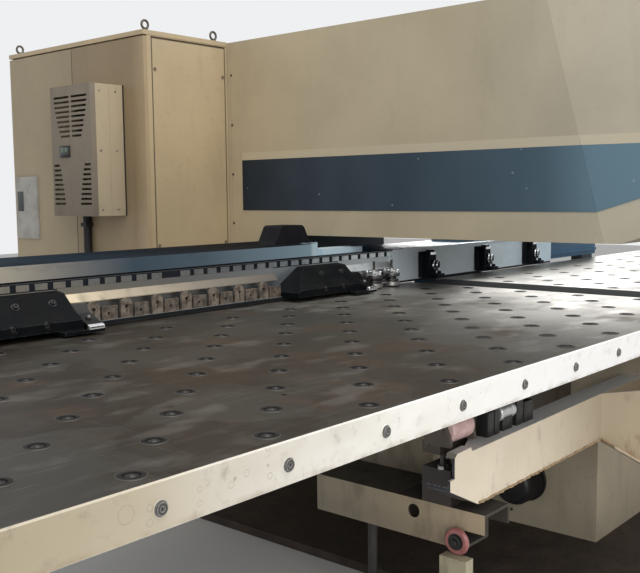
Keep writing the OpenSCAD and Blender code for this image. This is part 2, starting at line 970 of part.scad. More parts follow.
// Casing of the cooling unit, with the fan motor on its spider
module cooler_casing() {
    skin = 2;
    front = cabinet_left - cooler_d + 30;
    mid_y = cooler_y + cooler_w / 2;
    fan_z = cooler_low + cooler_h - 165;
    color(paint)
        union() {
            difference() {
                block([front, cooler_y, cooler_low],
                      [cabinet_left, cooler_y + cooler_w, cooler_low + cooler_h]);
                block([front - 1, cooler_y + skin, cooler_low + skin],
                      [cabinet_left - skin, cooler_y + cooler_w - skin, cooler_low + cooler_h - skin]);
                block([cabinet_left - skin - 1, cooler_y + 40, cooler_low + 60],
                      [cabinet_left + 1, cooler_y + cooler_w - 40, cooler_low + 250]);
                block([cabinet_left - 92, cooler_y - 1, cooler_low - 1],
                      [cabinet_left - 90, cooler_y + 1, cooler_low + cooler_h + 1]);
            }
            translate([cabinet_left - skin - 70, mid_y, fan_z])
                rotate([0, 90, 0])
                    cylinder(r = 38, h = 71);
            translate([cabinet_left - skin - 120, mid_y, fan_z])
                rotate([0, 90, 0])
                    cylinder(r = 6, h = 60);
        }
}

// Grey louvred front of the cooling unit
module cooler_front() {
    skin = 3;
    front = cabinet_left - cooler_d;
    back = front + 30;
    mid_y = cooler_y + cooler_w / 2;
    row_h = 24;
    slot_h = 11;
    top_row = cooler_low + cooler_h - 62;
    low_row = cooler_low + 248;
    screen_y = mid_y + 10;
    screen_z = cooler_low + 300;
    color(rail_grey)
        difference() {
            union() {
                difference() {
                    block([front, cooler_y, cooler_low],
                          [back, cooler_y + cooler_w, cooler_low + cooler_h]);
                    block([front + skin, cooler_y + skin, cooler_low + skin],
                          [back + 1, cooler_y + cooler_w - skin, cooler_low + cooler_h - skin]);
                }
                block([front - 2, screen_y, screen_z], [front + 1, screen_y + 84, screen_z + 42]);
            }
            block([front - 3, screen_y + 6, screen_z + 6], [front - 1, screen_y + 78, screen_z + 36]);
            for (k = [0 : vent_rows - 1]) {
                half = 140 - 52 * pow(k / (vent_rows - 1), 1.6);
                z = top_row - row_h * k;
                block([front - 1, mid_y - half, z], [front + skin + 1, mid_y - 8, z + slot_h]);
                block([front - 1, mid_y + 8, z], [front + skin + 1, mid_y + half, z + slot_h]);
            }
            for (k = [0 : vent_rows - 1]) {
                inner = 106 - 42 * pow(k / (vent_rows - 1), 0.7);
                z = low_row - row_h * k;
                block([front - 1, mid_y - 156, z], [front + skin + 1, mid_y - inner, z + slot_h]);
                block([front - 1, mid_y + inner, z], [front + skin + 1, mid_y + 156, z + slot_h]);
            }
        }
}

module cooler_fan() {
    hub_r = 30;
    blade_r = 118;
    hub_w = 34;
    color(black_paint)
        translate([cabinet_left - 112, cooler_y + cooler_w / 2, cooler_low + cooler_h - 165])
            rotate([0, 90, 0])
                difference() {
                    union() {
                        cylinder(r = hub_r, h = hub_w);
                        for (a = [0 : 60 : 300])
                            rotate([0, 0, a])
                                translate([hub_r - 4, 0, hub_w / 2])
                                    rotate([32, 0, 0])
                                        translate([0, -24, -1.5])
                                            cube([blade_r - hub_r, 48, 3]);
                    }
                    translate([0, 0, -1])
                        cylinder(r = 6 + shaft_gap, h = hub_w + 2);
                }
}

module cooler_conduit() {
    top = cooler_low;
    low = cabinet_low + 30;
    y = cooler_y + cooler_w - conduit_r - 3;
    color(black_paint)
        union() {
            translate([cabinet_left - conduit_r, y, low])
                cylinder(r = conduit_r, h = top - low);
            for (z = [low + 30, top - 60])
                block([cabinet_left - 2 * conduit_r - 3, y - conduit_r - 3, z],
                      [cabinet_left, y + conduit_r + 3, z + 20]);
        }
}

module document_pocket() {
    w = 215;
    h = 350;
    pocket_y = cabinet_back - 240;
    pocket_z = cabinet_low + 170;
    color([0.85, 0.84, 0.82])
        difference() {
            block([cabinet_left - 9, pocket_y, pocket_z], [cabinet_left, pocket_y + w, pocket_z + h]);
            block([cabinet_left - 7.5, pocket_y + 2, pocket_z + 2],
                  [cabinet_left - 1.5, pocket_y + w - 2, pocket_z + h + 1]);
        }
}

function row_y(k) = first_row + row_pitch * k;
function row_x(k, i) = -centre_half - 72 - (k % 2) * ball_pitch / 2 - ball_pitch * i;

module ball_places() {
    for (k = [0 : ball_rows - 1], i = [0 : balls_in_row - 1])
        translate([row_x(k, i), row_y(k), 0])
            children();
}

module table_sheet() {
    difference() {
        block([-centre_half - 1 - table_len, -table_front + apron_t, table_h - table_t],
              [-centre_half - 1, table_back, table_h]);
        ball_places()
            translate([0, 0, table_h - table_t - 1])
                cylinder(r = flange_r - 2, h = table_t + 2);
        translate([-2428, 69, table_h - table_t - 1])
            cylinder(r = 7, h = table_t + 2);
    }
}

module left_table() {
    color(dark_steel)
        table_sheet();
}

module right_table() {
    color(dark_steel)
        mirror([1, 0, 0])
            table_sheet();
}

module ball_unit() {
    seat_r = ball_r + 3;
    depth = 22;
    proud = 1.2;
    union() {
        rotate_extrude()
            polygon([
                [0, -depth], [flange_r - 2.3, -depth], [flange_r - 2.3, 0], [flange_r, 0],
                [flange_r - 1, proud], [seat_r + 1, proud], [seat_r, proud - 1.2], [0, proud - 1.2]
            ]);
        translate([0, 0, 3.4 - ball_r])
            sphere(r = ball_r);
    }
}

module ball_units() {
    color(bright_steel)
        both_sides()
            ball_places()
                translate([0, 0, table_h])
                    ball_unit();
}

// Ribs, end bars and the runner that rests on the roller
module table_frame(outer_arm) {
    inner = -centre_half - 1;
    outer = inner - table_len;
    top = table_h - table_t;
    rib_w = 44;
    ribs = floor((table_len - 200) / ball_pitch);
    first_rib = -centre_half - 72 - ball_pitch / 4;
    arms = [-leg_x, -outer_arm];
    block([outer, -table_front + apron_t, frame_low], [inner, -table_front + 26, top]);
    block([outer, table_back - 60, frame_low], [inner, table_back, top]);
    block([outer, -table_front + 26, frame_low], [outer + 12, table_back - 60, top]);
    for (k = [0 : ribs])
        block([first_rib - ball_pitch * k - rib_w / 2, -table_front + 26, frame_low],
              [first_rib - ball_pitch * k + rib_w / 2, table_back - 60, top]);
    for (x = arms) {
        block([x - leg_w / 2, table_back, frame_low], [x + leg_w / 2, beam_front, top]);
    }
    block([arms[1] - leg_w / 2, beam_front, frame_low], [arms[1] + leg_w / 2, beam_front + 80, beam_low]);
    span_y(roller_y - roller_r, table_back)
        polygon([
            [-roller_x - 100, frame_low], [-roller_x - 100, frame_low - 10],
            [-roller_x - rail_foot / 2, frame_low - 10],
            [-roller_x - rail_foot / 2, frame_low - 96],
            [-roller_x + rail_foot / 2, frame_low - 96],
            [-roller_x + rail_foot / 2, frame_low - 10],
            [-roller_x + 60, frame_low - 10], [-roller_x + 60, frame_low]
        ]);
}

module left_frame() {
    color(paint)
        table_frame(beam_left - 330);
}

module right_frame() {
    color(paint)
        mirror([1, 0, 0])
            table_frame(beam_right - 130);
}

// Folded apron with its button head screws
module apron() {
    inner = -centre_half - 1;
    outer = inner - table_len;
    face = -table_front;
    screw_r = 11;
    screw_z = table_h - 45;
    screws = floor((table_len - 100) / 300);
    span_x(outer, inner)
        polygon([
            [face, apron_low], [face, table_h - 2], [face + 2, table_h], [face + apron_t, table_h],
            [face + apron_t, apron_low + 5], [face + 50, apron_low + 5], [face + 50, apron_low]
        ]);
    for (k = [0 : screws])
        translate([inner - 185 - 300 * k, face, screw_z])
            rotate([90, 0, 0])
                difference() {
                    union() {
                        translate([0, 0, -eps])
                            cylinder(r = screw_r + 3, h = 2);
                        translate([0, 0, 1])
                            cylinder(r = screw_r, h = 5);
                    }
                    translate([0, 0, 3])
                        cylinder(r = 5, h = 5, $fn = 6);
                }
}

module left_apron() {
    color(zinc)
        apron();
}

module right_apron() {
    color(zinc)
        mirror([1, 0, 0])
            apron();
}

// Box beam with the guides of the rail and its two carriages
module cross_beam() {
    wall = 12;
    carriage_back = beam_back - 60;
    carriage_low = wing_top + 12;
    tray_end = -400;
    color(beam_blue)
        union() {
            difference() {
                span_x(-beam_left, beam_right)
                    polygon([
                        [beam_front, beam_low], [beam_back, beam_low], [beam_back, beam_top],
                        [beam_front, beam_top]
                    ]);
                span_x(-beam_left - 1, beam_right + 1)
                    polygon([
                        [beam_front + wall, beam_low + wall], [beam_back - wall, beam_low + wall],
                        [beam_back - wall, beam_top - wall], [beam_front + wall, beam_top - wall]
                    ]);
            }
            for (z = [beam_low + 25, beam_top - 40])
                block([-beam_left, beam_front - guide_t, z], [beam_right, beam_front, z + 20]);
            both_sides() {
                block([-leg_x - leg_w / 2, beam_front, jaw_top + slide_gap],
                      [-leg_x + leg_w / 2, beam_back, beam_low]);
                for (s = [-1, 1])
                    block([-leg_x + s * (guide_w / 2 + 15.5) - 15, carriage_back - carriage_len, carriage_low],
                          [-leg_x + s * (guide_w / 2 + 15.5) + 15, carriage_back, jaw_top + slide_gap]);
            }
            block([-700, beam_front + 30, beam_top], [tray_end, beam_front + 130, beam_top + 30]);
        }
}

// Cover over the rail on one side of the upper arm, from the outer end to its end post
module beam_cover(outer) {
    skin = 3;
    inner = -700;
    full = cover_end + post_w;
    setback = 60;
    roof = cover_high - skin;
    span_x(full - skin, inner)
        polygon([
            [beam_front + setback + skin, beam_top], [beam_front + setback + skin, roof],
            [beam_back - skin, roof], [beam_back - skin, beam_top], [beam_back, beam_top],
            [beam_back, cover_high], [beam_front + setback, cover_high], [beam_front + setback, beam_top]
        ]);
    block([full - skin, beam_front, beam_top], [full, beam_front + setback + skin, cover_high]);
    span_x(outer, full)
        polygon([
            [beam_front + skin, beam_top], [beam_front + skin, roof], [beam_back - skin, roof],
            [beam_back - skin, beam_top], [beam_back, beam_top], [beam_back, cover_high],
            [beam_front, cover_high], [beam_front, beam_top]
        ]);
    span_x(outer, cover_end)
        polygon([
            [rail_y, cover_low], [rail_y, cover_high], [beam_front, cover_high],
            [beam_front, cover_low]
        ]);
    block([cover_end, rail_y, cover_low], [cover_end + post_w, beam_front, cover_high + 4]);
    for (x = [outer + 200 : 400 : full - 20])
        block([x, beam_front + skin, beam_top], [x + 6, beam_back - skin, roof]);
    block([inner - skin, beam_front + setback + skin, beam_top], [inner, beam_back - skin, roof]);
}

module beam_covers() {
    color(rail_grey)
        beam_cover(-beam_left + 40);
    color(rail_grey)
        mirror([1, 0, 0])
            beam_cover(-beam_right + 40);
}

module drive_cover() {
    left = -970;
    right = -738;
    height = 82;
    color(black_paint)
        difference() {
            span_y(beam_front + 80, beam_front + 190)
                polygon([
                    [left, cover_high], [left + 14, cover_high + 16], [left + 46, cover_high + height - 8],
                    [left + 58, cover_high + height], [right - 46, cover_high + height],
                    [right - 30, cover_high + height - 10], [right, cover_high + 14], [right, cover_high]
                ]);
            span_y(beam_front + 84, beam_front + 186)
                polygon([
                    [left + 8, cover_high - 1], [left + 60, cover_high + height - 5],
                    [right - 50, cover_high + height - 5], [right - 6, cover_high - 1]
                ]);
        }
}

// Rail with its position blocks, upper lip and the ledge of the magazine
module rail_beam() {
    block_w = 47;
    block_z = rail_top - 29;
    blocks = floor((magazine_end - magazine_left - 60) / block_pitch);
    gap_at = 13;
    lip_start = -1460;
    color(bright_steel)
        union() {
            block([rail_left, rail_y, ledge_low], [rail_right, rail_back, rail_top]);
            for (k = [0 : blocks])
                if (k != gap_at)
                    block([magazine_left + 60 - block_w / 2 + block_pitch * k, rail_y - 3, block_z],
                          [magazine_left + 60 + block_w / 2 + block_pitch * k, rail_y, block_z + 21]);
            block([lip_start, rail_y - 6, rail_top - 4], [rail_right, rail_y, rail_top]);
            difference() {
                block([magazine_left, rail_y - 52, ledge_low], [magazine_end, rail_y, ledge_z]);
                for (k = [tool_station, tool_station + 1])
                    translate([station_0 + tool_shift + station_pitch * k, rail_y - 62, ledge_low - 1])
                        cylinder(r = 43, h = ledge_t + 2);
            }
            span_y(rail_y - 8, rail_y)
                polygon([
                    [magazine_end - 36, rail_top - 4], [magazine_end - 34, rail_top - 4],
                    [magazine_end + 22, ledge_low], [magazine_end - 36, ledge_low]
                ]);
        }
}

module magazine_cover() {
    low = table_h + 91;
    left_clamp = clamp_end - clamp_pitch;
    spans = [
        [magazine_left, left_clamp - clamp_len - 1], [left_clamp + 1, clamp_end - clamp_len - 1],
        [clamp_end + 1, magazine_end - 36]
    ];
    color([0.93, 0.86, 0.70])
        for (part = spans)
            span_x(part[0], part[1])
                polygon([
                    [rail_y - 30, low - 2], [rail_y - 30, low + 1], [rail_y - 5, rail_top - 54],
                    [rail_y - 5, rail_top - 30], [rail_y, rail_top - 30], [rail_y, low - 2]
                ]);
}

// One empty station: an upright ring plate with a keyhole, a drilled block and its stop
module cassette(with_stop) {
    ring_front = -40;
    ring_t = 10;
    block_w = 64;
    block_h = 47;
    block_0 = 31;
    difference() {
        union() {
            span_y(ring_front, ring_front + ring_t) {
                translate([0, ring_z])
                    circle(r = ring_r);
                translate([-ring_r, ledge_z])
                    square([2 * ring_r, ring_z - ledge_z]);
            }
            block([block_0, -46, ledge_z], [block_0 + block_w, -34, ledge_z + block_h]);
            block([-ring_r + 4, ring_front + ring_t, ledge_z], [block_0 + block_w, 0, ledge_z + 14]);
            block([block_0 + 4, -34, ledge_z + 14], [block_0 + block_w - 4, 0, ledge_z + block_h - 6]);
            if (with_stop)
                translate([block_0 + block_w + 5, -30, ledge_z])
                    cylinder(r = 8, h = 40);
        }
        span_y(ring_front - 1, ring_front + ring_t + 1) {
            translate([0, ring_z - 4])
                circle(r = 8);
            translate([-3, ring_z - 28])
                square([6, 24]);
        }
        translate([block_0 + 27, -47, ledge_z + 21])
            rotate([-90, 0, 0])
                cylinder(r = 6, h = 20);
    }
}

module cassettes() {
    color(bright_steel)
        for (k = [0 : stations - 1])
            translate([station_0 + station_pitch * k, rail_y, 0])
                cassette(k < stations - 1);
}

// Tool held in a station: punch over stripper over die, with its star knob and pin
module tool() {
    fork_top = ledge_z + 62;
    difference() {
        union() {
            block([-46, -16, ledge_z], [46, 0, fork_top]);
            block([-40, -62, table_h + 40], [40, -15, table_h + 50]);
        }
        translate([0, -62, ledge_z])
            cylinder(r = 24, h = 90);
    }
    translate([0, -62, 0])
        rotate_extrude()
            polygon([
                [0, table_h + 7], [37, table_h + 7], [41, table_h + 11], [41, table_h + 27],
                [34, table_h + 30], [34, table_h + 38], [24, table_h + 38], [24, table_h + 52],
                [38, table_h + 52], [41, table_h + 55], [41, table_h + 68], [30, table_h + 73],
                [12, table_h + 80], [12, table_h + 92], [6, table_h + 94], [6, table_h + 132],
                [0, table_h + 132]
            ]);
    for (a = [0 : 60 : 300])
        translate([0, -62, table_h + 66])
            rotate([0, 0, a])
                translate([10, -4, 0])
                    cube([24, 8, 14]);
}

module tools() {
    color(bright_steel)
        for (k = [tool_station, tool_station + 1])
            translate([station_0 + tool_shift + station_pitch * k, rail_y, 0])
                tool();
}

// Body of a sheet clamp, seen from the end of its jaw at x = 0
module clamp_body() {
    back = rail_y;
    shoulder = rail_top - 36;
    body_low = ledge_z;
    difference() {
        intersection() {
            span_x(-clamp_len, 0)
                polygon([
                    [back, body_low], [back, shoulder], [back - 46, shoulder - 6],
                    [back - 104, table_h + 78], [back - 150, table_h + 50], [back - 150, body_low]
                ]);
            span_y(back - 200, back + 1)
                polygon([
                    [-clamp_len, body_low], [-clamp_len, body_low + 20], [-clamp_len + 160, shoulder + 1],
                    [1, shoulder + 1], [1, body_low]
                ]);
        }
        block([-clamp_len - 1, back - 60, body_low - 1], [1, back + 1, body_low]);
        for (x = [-250, -130])
            translate([x, back - 136, table_h + 44])
                rotate([90, 0, 0])
                    cylinder(r = 12, h = 40);
    }
    block([-90, back - 184, jaw_low], [jaw_t + 1, back - 52, jaw_low + jaw_plate]);
    block([-90, back - 150, jaw_low], [0, back - 52, body_low + 1]);
    translate([-6, clamp_pin_y, clamp_pin_z])
        rotate([0, 90, 0])
            cylinder(r = clamp_pin_r, h = jaw_t + 8);
}

module clamp_bodies() {
    color(black_paint)
        for (x = [clamp_end - clamp_pitch, clamp_end])
            translate([x, 0, 0])
                clamp_body();
}

// Upper jaw, hung on the pin at the end of the clamp body
module clamp_jaw() {
    seat = jaw_low + jaw_plate + slide_gap;
    difference() {
        span_x(1, jaw_t)
            polygon([
                [rail_y - 184, seat], [rail_y - 184, seat + 10], [rail_y - 104, clamp_pin_z - 10],
                [rail_y - 80, clamp_pin_z + 18], [rail_y - 44, clamp_pin_z + 18],
                [rail_y - 40, clamp_pin_z - 24], [rail_y - 96, seat + 22], [rail_y - 140, seat]
            ]);
        translate([0, clamp_pin_y, clamp_pin_z])
            rotate([0, 90, 0])
                cylinder(r = clamp_pin_r + shaft_gap, h = jaw_t + 1);
    }
}

module clamp_jaw_left() {
    color(bright_steel)
        translate([clamp_end - clamp_pitch, 0, 0])
            clamp_jaw();
}

module clamp_jaw_right() {
    color(bright_steel)
        translate([clamp_end, 0, 0])
            clamp_jaw();
}

// Dark holder with two bright rings, on the bare part of the rail
module tool_holder() {
    base_z = ledge_low + 4;
    back = rail_y;
    union() {
        block([-62, back - 24, base_z], [34, back, rail_top - 22]);
        block([-40, back - 54, base_z], [22, back - 24, rail_top - 36]);
        translate([-14, back - 40, rail_top - 36])
            cylinder(r = 34, h = 12);
        translate([-14, back - 40, rail_top - 24])
            cylinder(r = 22, h = 10);
        for (x = [-8, 26])
            translate([x, back - 63, table_h + 80])
                rotate([90, 0, 18])
                    rotate_extrude()
                        translate([23, 0])
                            circle(r = 4.5);
        block([-12, back - 62, table_h + 50], [34, back - 54, table_h + 102]);
        block([-20, back - 92, base_z], [44, back - 54, base_z + 20]);
        translate([12, back - 80, base_z + 20])
            cylinder(r = 10, h = 14);
    }
}

module tool_holders() {
    color(dark_steel)
        for (k = [0 : 2])
            translate([holder_0 + holder_pitch * k, 0, 0])
                tool_holder();
}

// Boom over the upper arm that carries the operator console
module console_boom() {
    post_x = frame_w / 2 - 120;
    post_y = 640;
    boom_z = housing_top + 120;
    tube = 32;
    run = sqrt(pow(boom_x - post_x, 2) + pow(boom_y - post_y, 2));
    heading = atan2(boom_y - post_y, boom_x - post_x);
    drop_low = console_low + console_h + 40;
    color(paint)
        union() {
            block([post_x - 90, post_y - 90, housing_top], [post_x + 90, post_y + 90, housing_top + 14]);
            translate([post_x, post_y, housing_top + 14])
                cylinder(r = tube + 6, h = boom_z - housing_top - 14 + tube);
            translate([post_x, post_y, boom_z])
                rotate([0, 0, heading])
                    rotate([0, 90, 0])
                        cylinder(r = tube - 4, h = run);
            translate([boom_x, boom_y, drop_low])
                cylinder(r = tube, h = boom_z + tube - drop_low);
        }
}

module console() {
    back = boom_y + console_d / 2;
    front = boom_y - console_d / 2;
    left = boom_x - console_w / 2;
    top = console_low + console_h;
    color(paint)
        difference() {
            union() {
                span_x(left, left + console_w)
                    polygon([
                        [front, console_low + 30], [front + 24, top], [back, top],
                        [back, console_low], [front + 14, console_low]
                    ]);
                translate([boom_x, boom_y, top])
                    cylinder(r = 40, h = 40 - slide_gap);
            }
            translate([boom_x, boom_y - console_d / 2 - 4, console_low + 262])
                rotate([-4, 0, 0])
                    translate([-console_w / 2 + 40, 0, -82])
                        cube([console_w - 80, 24, 200]);
            translate([boom_x + console_w / 2 - 60, front + 60, console_low + 90])
                rotate([90, 0, 0])
                    cylinder(r = 8, h = 100);
        }
}

module stop_button() {
    front = boom_y - console_d / 2 + 4;
    color("firebrick")
        translate([boom_x + console_w / 2 - 60, front, console_low + 90])
            rotate([90, 0, 0])
                union() {
                    translate([0, 0, -40])
                        cylinder(r = 8 - shaft_gap, h = 52);
                    translate([0, 0, 12])
                        cylinder(r = 20, h = 16);
                }
}

base_plate();
c_frame();
levelling_feet();
arm_cover_left();
arm_cover_right();
top_cover();
rear_cover();
nose_cover();
band_panels();
head_body();
ram_cylinder();
die_carrier();
centre_plate();
support_arm_left();
support_arm_right();
base_wing_left();
base_wing_right();
roller_brackets();
y_guides();
cabinet_stand();
cabinet_body();
cabinet_side_panel();
switchgear();
lifting_eyes();
console_boom();
ram();
punch();
stripper();
die();
roller_left();
roller_right();
wheel_left();
wheel_right();
near_door();
far_door();
cooler_casing();
cooler_front();
cooler_fan();
cooler_conduit();
document_pocket();
left_table();
right_table();
left_frame();
right_frame();
left_apron();
right_apron();
ball_units();
cross_beam();
beam_covers();
drive_cover();
rail_beam();
magazine_cover();
cassettes();
tools();
clamp_bodies();
clamp_jaw_left();
clamp_jaw_right();
tool_holders();
console();
stop_button();
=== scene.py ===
import bpy
import bmesh
import math
from mathutils import Matrix, Vector


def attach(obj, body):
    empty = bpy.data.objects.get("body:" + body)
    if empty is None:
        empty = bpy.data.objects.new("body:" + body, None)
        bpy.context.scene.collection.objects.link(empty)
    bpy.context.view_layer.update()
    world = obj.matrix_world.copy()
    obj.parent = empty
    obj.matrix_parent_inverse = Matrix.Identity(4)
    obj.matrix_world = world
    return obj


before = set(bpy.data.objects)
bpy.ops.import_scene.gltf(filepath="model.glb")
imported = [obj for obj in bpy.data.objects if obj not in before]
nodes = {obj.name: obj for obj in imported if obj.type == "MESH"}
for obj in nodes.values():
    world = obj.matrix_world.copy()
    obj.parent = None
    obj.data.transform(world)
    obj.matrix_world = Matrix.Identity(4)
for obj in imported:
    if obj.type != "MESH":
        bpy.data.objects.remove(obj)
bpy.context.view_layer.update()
print("frame loaded:", len(nodes), "nodes")


# Camera first: the photograph's place, aim and lens
cameraLook = {
    "place": (-3.9, -1.31, 1.45),
    "right": (0.6518, -0.7583, -0.0102),
    "down": (-0.0834, -0.0583, -0.9948),
    "ahead": (0.7537, 0.6493, -0.1013),
    "lens": 51.06,
    "reach": (0.05, 80),
}


def placed(name, data):
    made = bpy.data.objects.new(name, data)
    bpy.context.scene.collection.objects.link(made)
    return made


def makeCamera(look):
    data = bpy.data.cameras.new("photoCamera")
    data.lens = look["lens"]
    data.clip_start, data.clip_end = look["reach"]
    camera = placed("photoCamera", data)
    turn = Matrix((look["right"], [-v for v in look["down"]], [-v for v in look["ahead"]])).transposed()
    camera.matrix_world = Matrix.Translation(look["place"]) @ turn.to_4x4()
    bpy.context.scene.camera = camera


makeCamera(cameraLook)
print("camera made")


# Shader tools

class Wire:
    # one socket of a node tree; the operators add Math nodes behind it
    def __init__(self, tree, socket):
        self.tree = tree
        self.socket = socket

    def at(self, name):
        return Wire(self.tree, self.socket.node.outputs[name])

    def calc(self, operation, *terms):
        return self.tree.node("ShaderNodeMath", {"operation": operation}, dict(enumerate(terms)))

    def __add__(self, other):
        return self.calc("ADD", self, other)

    __radd__ = __add__

    def __sub__(self, other):
        return self.calc("SUBTRACT", self, other)

    def __rsub__(self, other):
        return self.calc("SUBTRACT", other, self)

    def __mul__(self, other):
        return self.calc("MULTIPLY", self, other)

    __rmul__ = __mul__

    def __truediv__(self, other):
        return self.calc("DIVIDE", self, other)

    def __rtruediv__(self, other):
        return self.calc("DIVIDE", other, self)

    def __pow__(self, other):
        return self.calc("POWER", self, other)

    def __mod__(self, other):
        return self.calc("FLOORED_MODULO", self, other)

    def __gt__(self, other):
        return self.calc("GREATER_THAN", self, other)

    def __lt__(self, other):
        return self.calc("LESS_THAN", self, other)

    def __abs__(self):
        return self.calc("ABSOLUTE", self)

    def most(self, other):
        return self.calc("MAXIMUM", self, other)

    def round(self):
        return self.calc("ROUND", self)


class NodeTree:
    def __init__(self, tree):
        self.tree = tree

    def feed(self, socket, value):
        if isinstance(value, Wire):
            self.tree.links.new(value.socket, socket)
        elif socket.type == "RGBA" and len(value) == 3:
            socket.default_value = (*value, 1)
        else:
            socket.default_value = value

    def node(self, kind, settings=None, links=None, out=0):
        made = self.tree.nodes.new(kind)
        for key, value in (settings or {}).items():
            if key == "stops":
                ramp = made.color_ramp
                while len(ramp.elements) < len(value):
                    ramp.elements.new(1)
                for element, (position, shade) in zip(ramp.elements, value):
                    element.position = position
                    element.color = (*shade, 1)
            else:
                setattr(made, key, value)
        for key, value in (links or {}).items():
            self.feed(made.inputs[key], value)
        return Wire(self, made.outputs[out])


class Paint(NodeTree):
    # a material around one Principled shader; coats go over its running colour
    def __init__(self, name, **fixed):
        self.material = bpy.data.materials.new(name)
        self.material.use_nodes = True
        super().__init__(self.material.node_tree)
        self.shader = self.tree.nodes["Principled BSDF"]
        for key, value in fixed.items():
            self.feed(self.shader.inputs[key.replace("_", " ")], value)
        self.place = self.node("ShaderNodeTexCoord", out="Object")
        self.x = self.node("ShaderNodeSeparateXYZ", links={0: self.place})
        self.y = self.x.at("Y")
        self.z = self.x.at("Z")
        self.colour = None

    def noise(self, size, detail=4, stretch=(1, 1, 1), shift=(0, 0, 0), rough=0.55):
        return self.node("ShaderNodeTexNoise", {}, {
            "Vector": self.spot(size, stretch, shift), "Scale": 1, "Detail": detail, "Roughness": rough})

    def spot(self, size, stretch=(1, 1, 1), shift=(0, 0, 0)):
        # object coordinates measured in units of size, squeezed by stretch
        return self.node("ShaderNodeVectorMath", {"operation": "MULTIPLY_ADD"},
                         {0: self.place, 1: tuple(s / size for s in stretch), 2: shift})

    def cells(self, size, stretch=(1, 1, 1), metric="EUCLIDEAN", out="Distance", jitter=1):
        return self.node("ShaderNodeTexVoronoi", {"distance": metric},
                         {"Vector": self.spot(size, stretch), "Scale": 1, "Randomness": jitter}, out)

    def rise(self, value, low, high):
        return self.node("ShaderNodeMapRange", {"interpolation_type": "SMOOTHSTEP"},
                         {"Value": value, "From Min": low, "From Max": high})

    def cloud(self, low, high, *where, **how):
        return self.rise(self.noise(*where, **how), low, high)

    def within(self, value, low, high, soft=0.0005):
        return self.rise(value, low, low + soft) * (1 - self.rise(value, high - soft, high))

    def away(self, across, along):
        return (across * across + along * along) ** 0.5

    def facingUp(self, low, high):
        normal = self.node("ShaderNodeNewGeometry", out="Normal")
        return self.rise(self.node("ShaderNodeSeparateXYZ", links={0: normal}, out="Z"), low, high)

    def edge(self, radius, leanLow=0.02, leanHigh=0.18):
        # 1 along worn edges, from how far a rounded normal leans away from the true one
        rounded = self.node("ShaderNodeBevel", {"samples": 4}, {"Radius": radius})
        plain = self.node("ShaderNodeNewGeometry", out="Normal")
        same = self.node("ShaderNodeVectorMath", {"operation": "DOT_PRODUCT"}, {0: rounded, 1: plain}, "Value")
        return self.rise(1 - same, leanLow, leanHigh)

    def mix(self, mask, first, second, blend="MIX"):
        return self.node("ShaderNodeMix", {"data_type": "RGBA", "blend_type": blend},
                         {0: mask, 6: first, 7: second}, 2)

    def coat(self, mask, tone):
        self.colour = self.mix(mask, self.colour, tone)

    def stain(self, tone, strength, *cloud):
        mask = self.cloud(*cloud)
        self.coat(mask * strength, tone)
        return mask

    def worn(self, tone, strength, radius):
        self.coat(self.edge(radius) * strength, tone)

    def chipped(self, tone, strength, size, radius=0.0025):
        self.coat(self.edge(radius) * self.cloud(0.42, 0.6, size, 3) * strength, tone)

    def graded(self, along, stops):
        # colour stops placed by metres along one of x, y or z
        first, last = stops[0][0], stops[-1][0]
        placedStops = [((at - first) / (last - first), tone) for at, tone in stops]
        return self.node("ShaderNodeValToRGB", {"stops": placedStops}, {0: (along - first) / (last - first)})

    def bump(self, height, distance, after=None):
        links = {"Height": height, "Distance": distance}
        if after is not None:
            links["Normal"] = after
        return self.node("ShaderNodeBump", {}, links)

    def grain(self, depth, *noise):
        return self.bump(self.noise(*noise), depth)

    def done(self, rough, normal=None, metal=None):
        sockets = {"Base Color": self.colour, "Roughness": rough, "Normal": normal, "Metallic": metal}
        for key, value in sockets.items():
            if value is not None:
                self.feed(self.shader.inputs[key], value)
        return self.material


finishes = {}


def dress(material, *names):
    for name in names:
        for holder in nodes[name].material_slots:
            holder.material = material


def paintAll(makePaint, looks, *tones):
    for name, look in looks.items():
        finishes[name] = makePaint(name, look, *tones)
        dress(finishes[name], *look.get("nodes", ()))


# In the looks below a stain has its tone and strength, the noise values between which it rises, then the
# noise's size, detail, stretch and shift. Worn edges have a tone, strength and radius, chips a tone, strength
# and size, and a grain its depth, then the noise's size, detail and stretch.


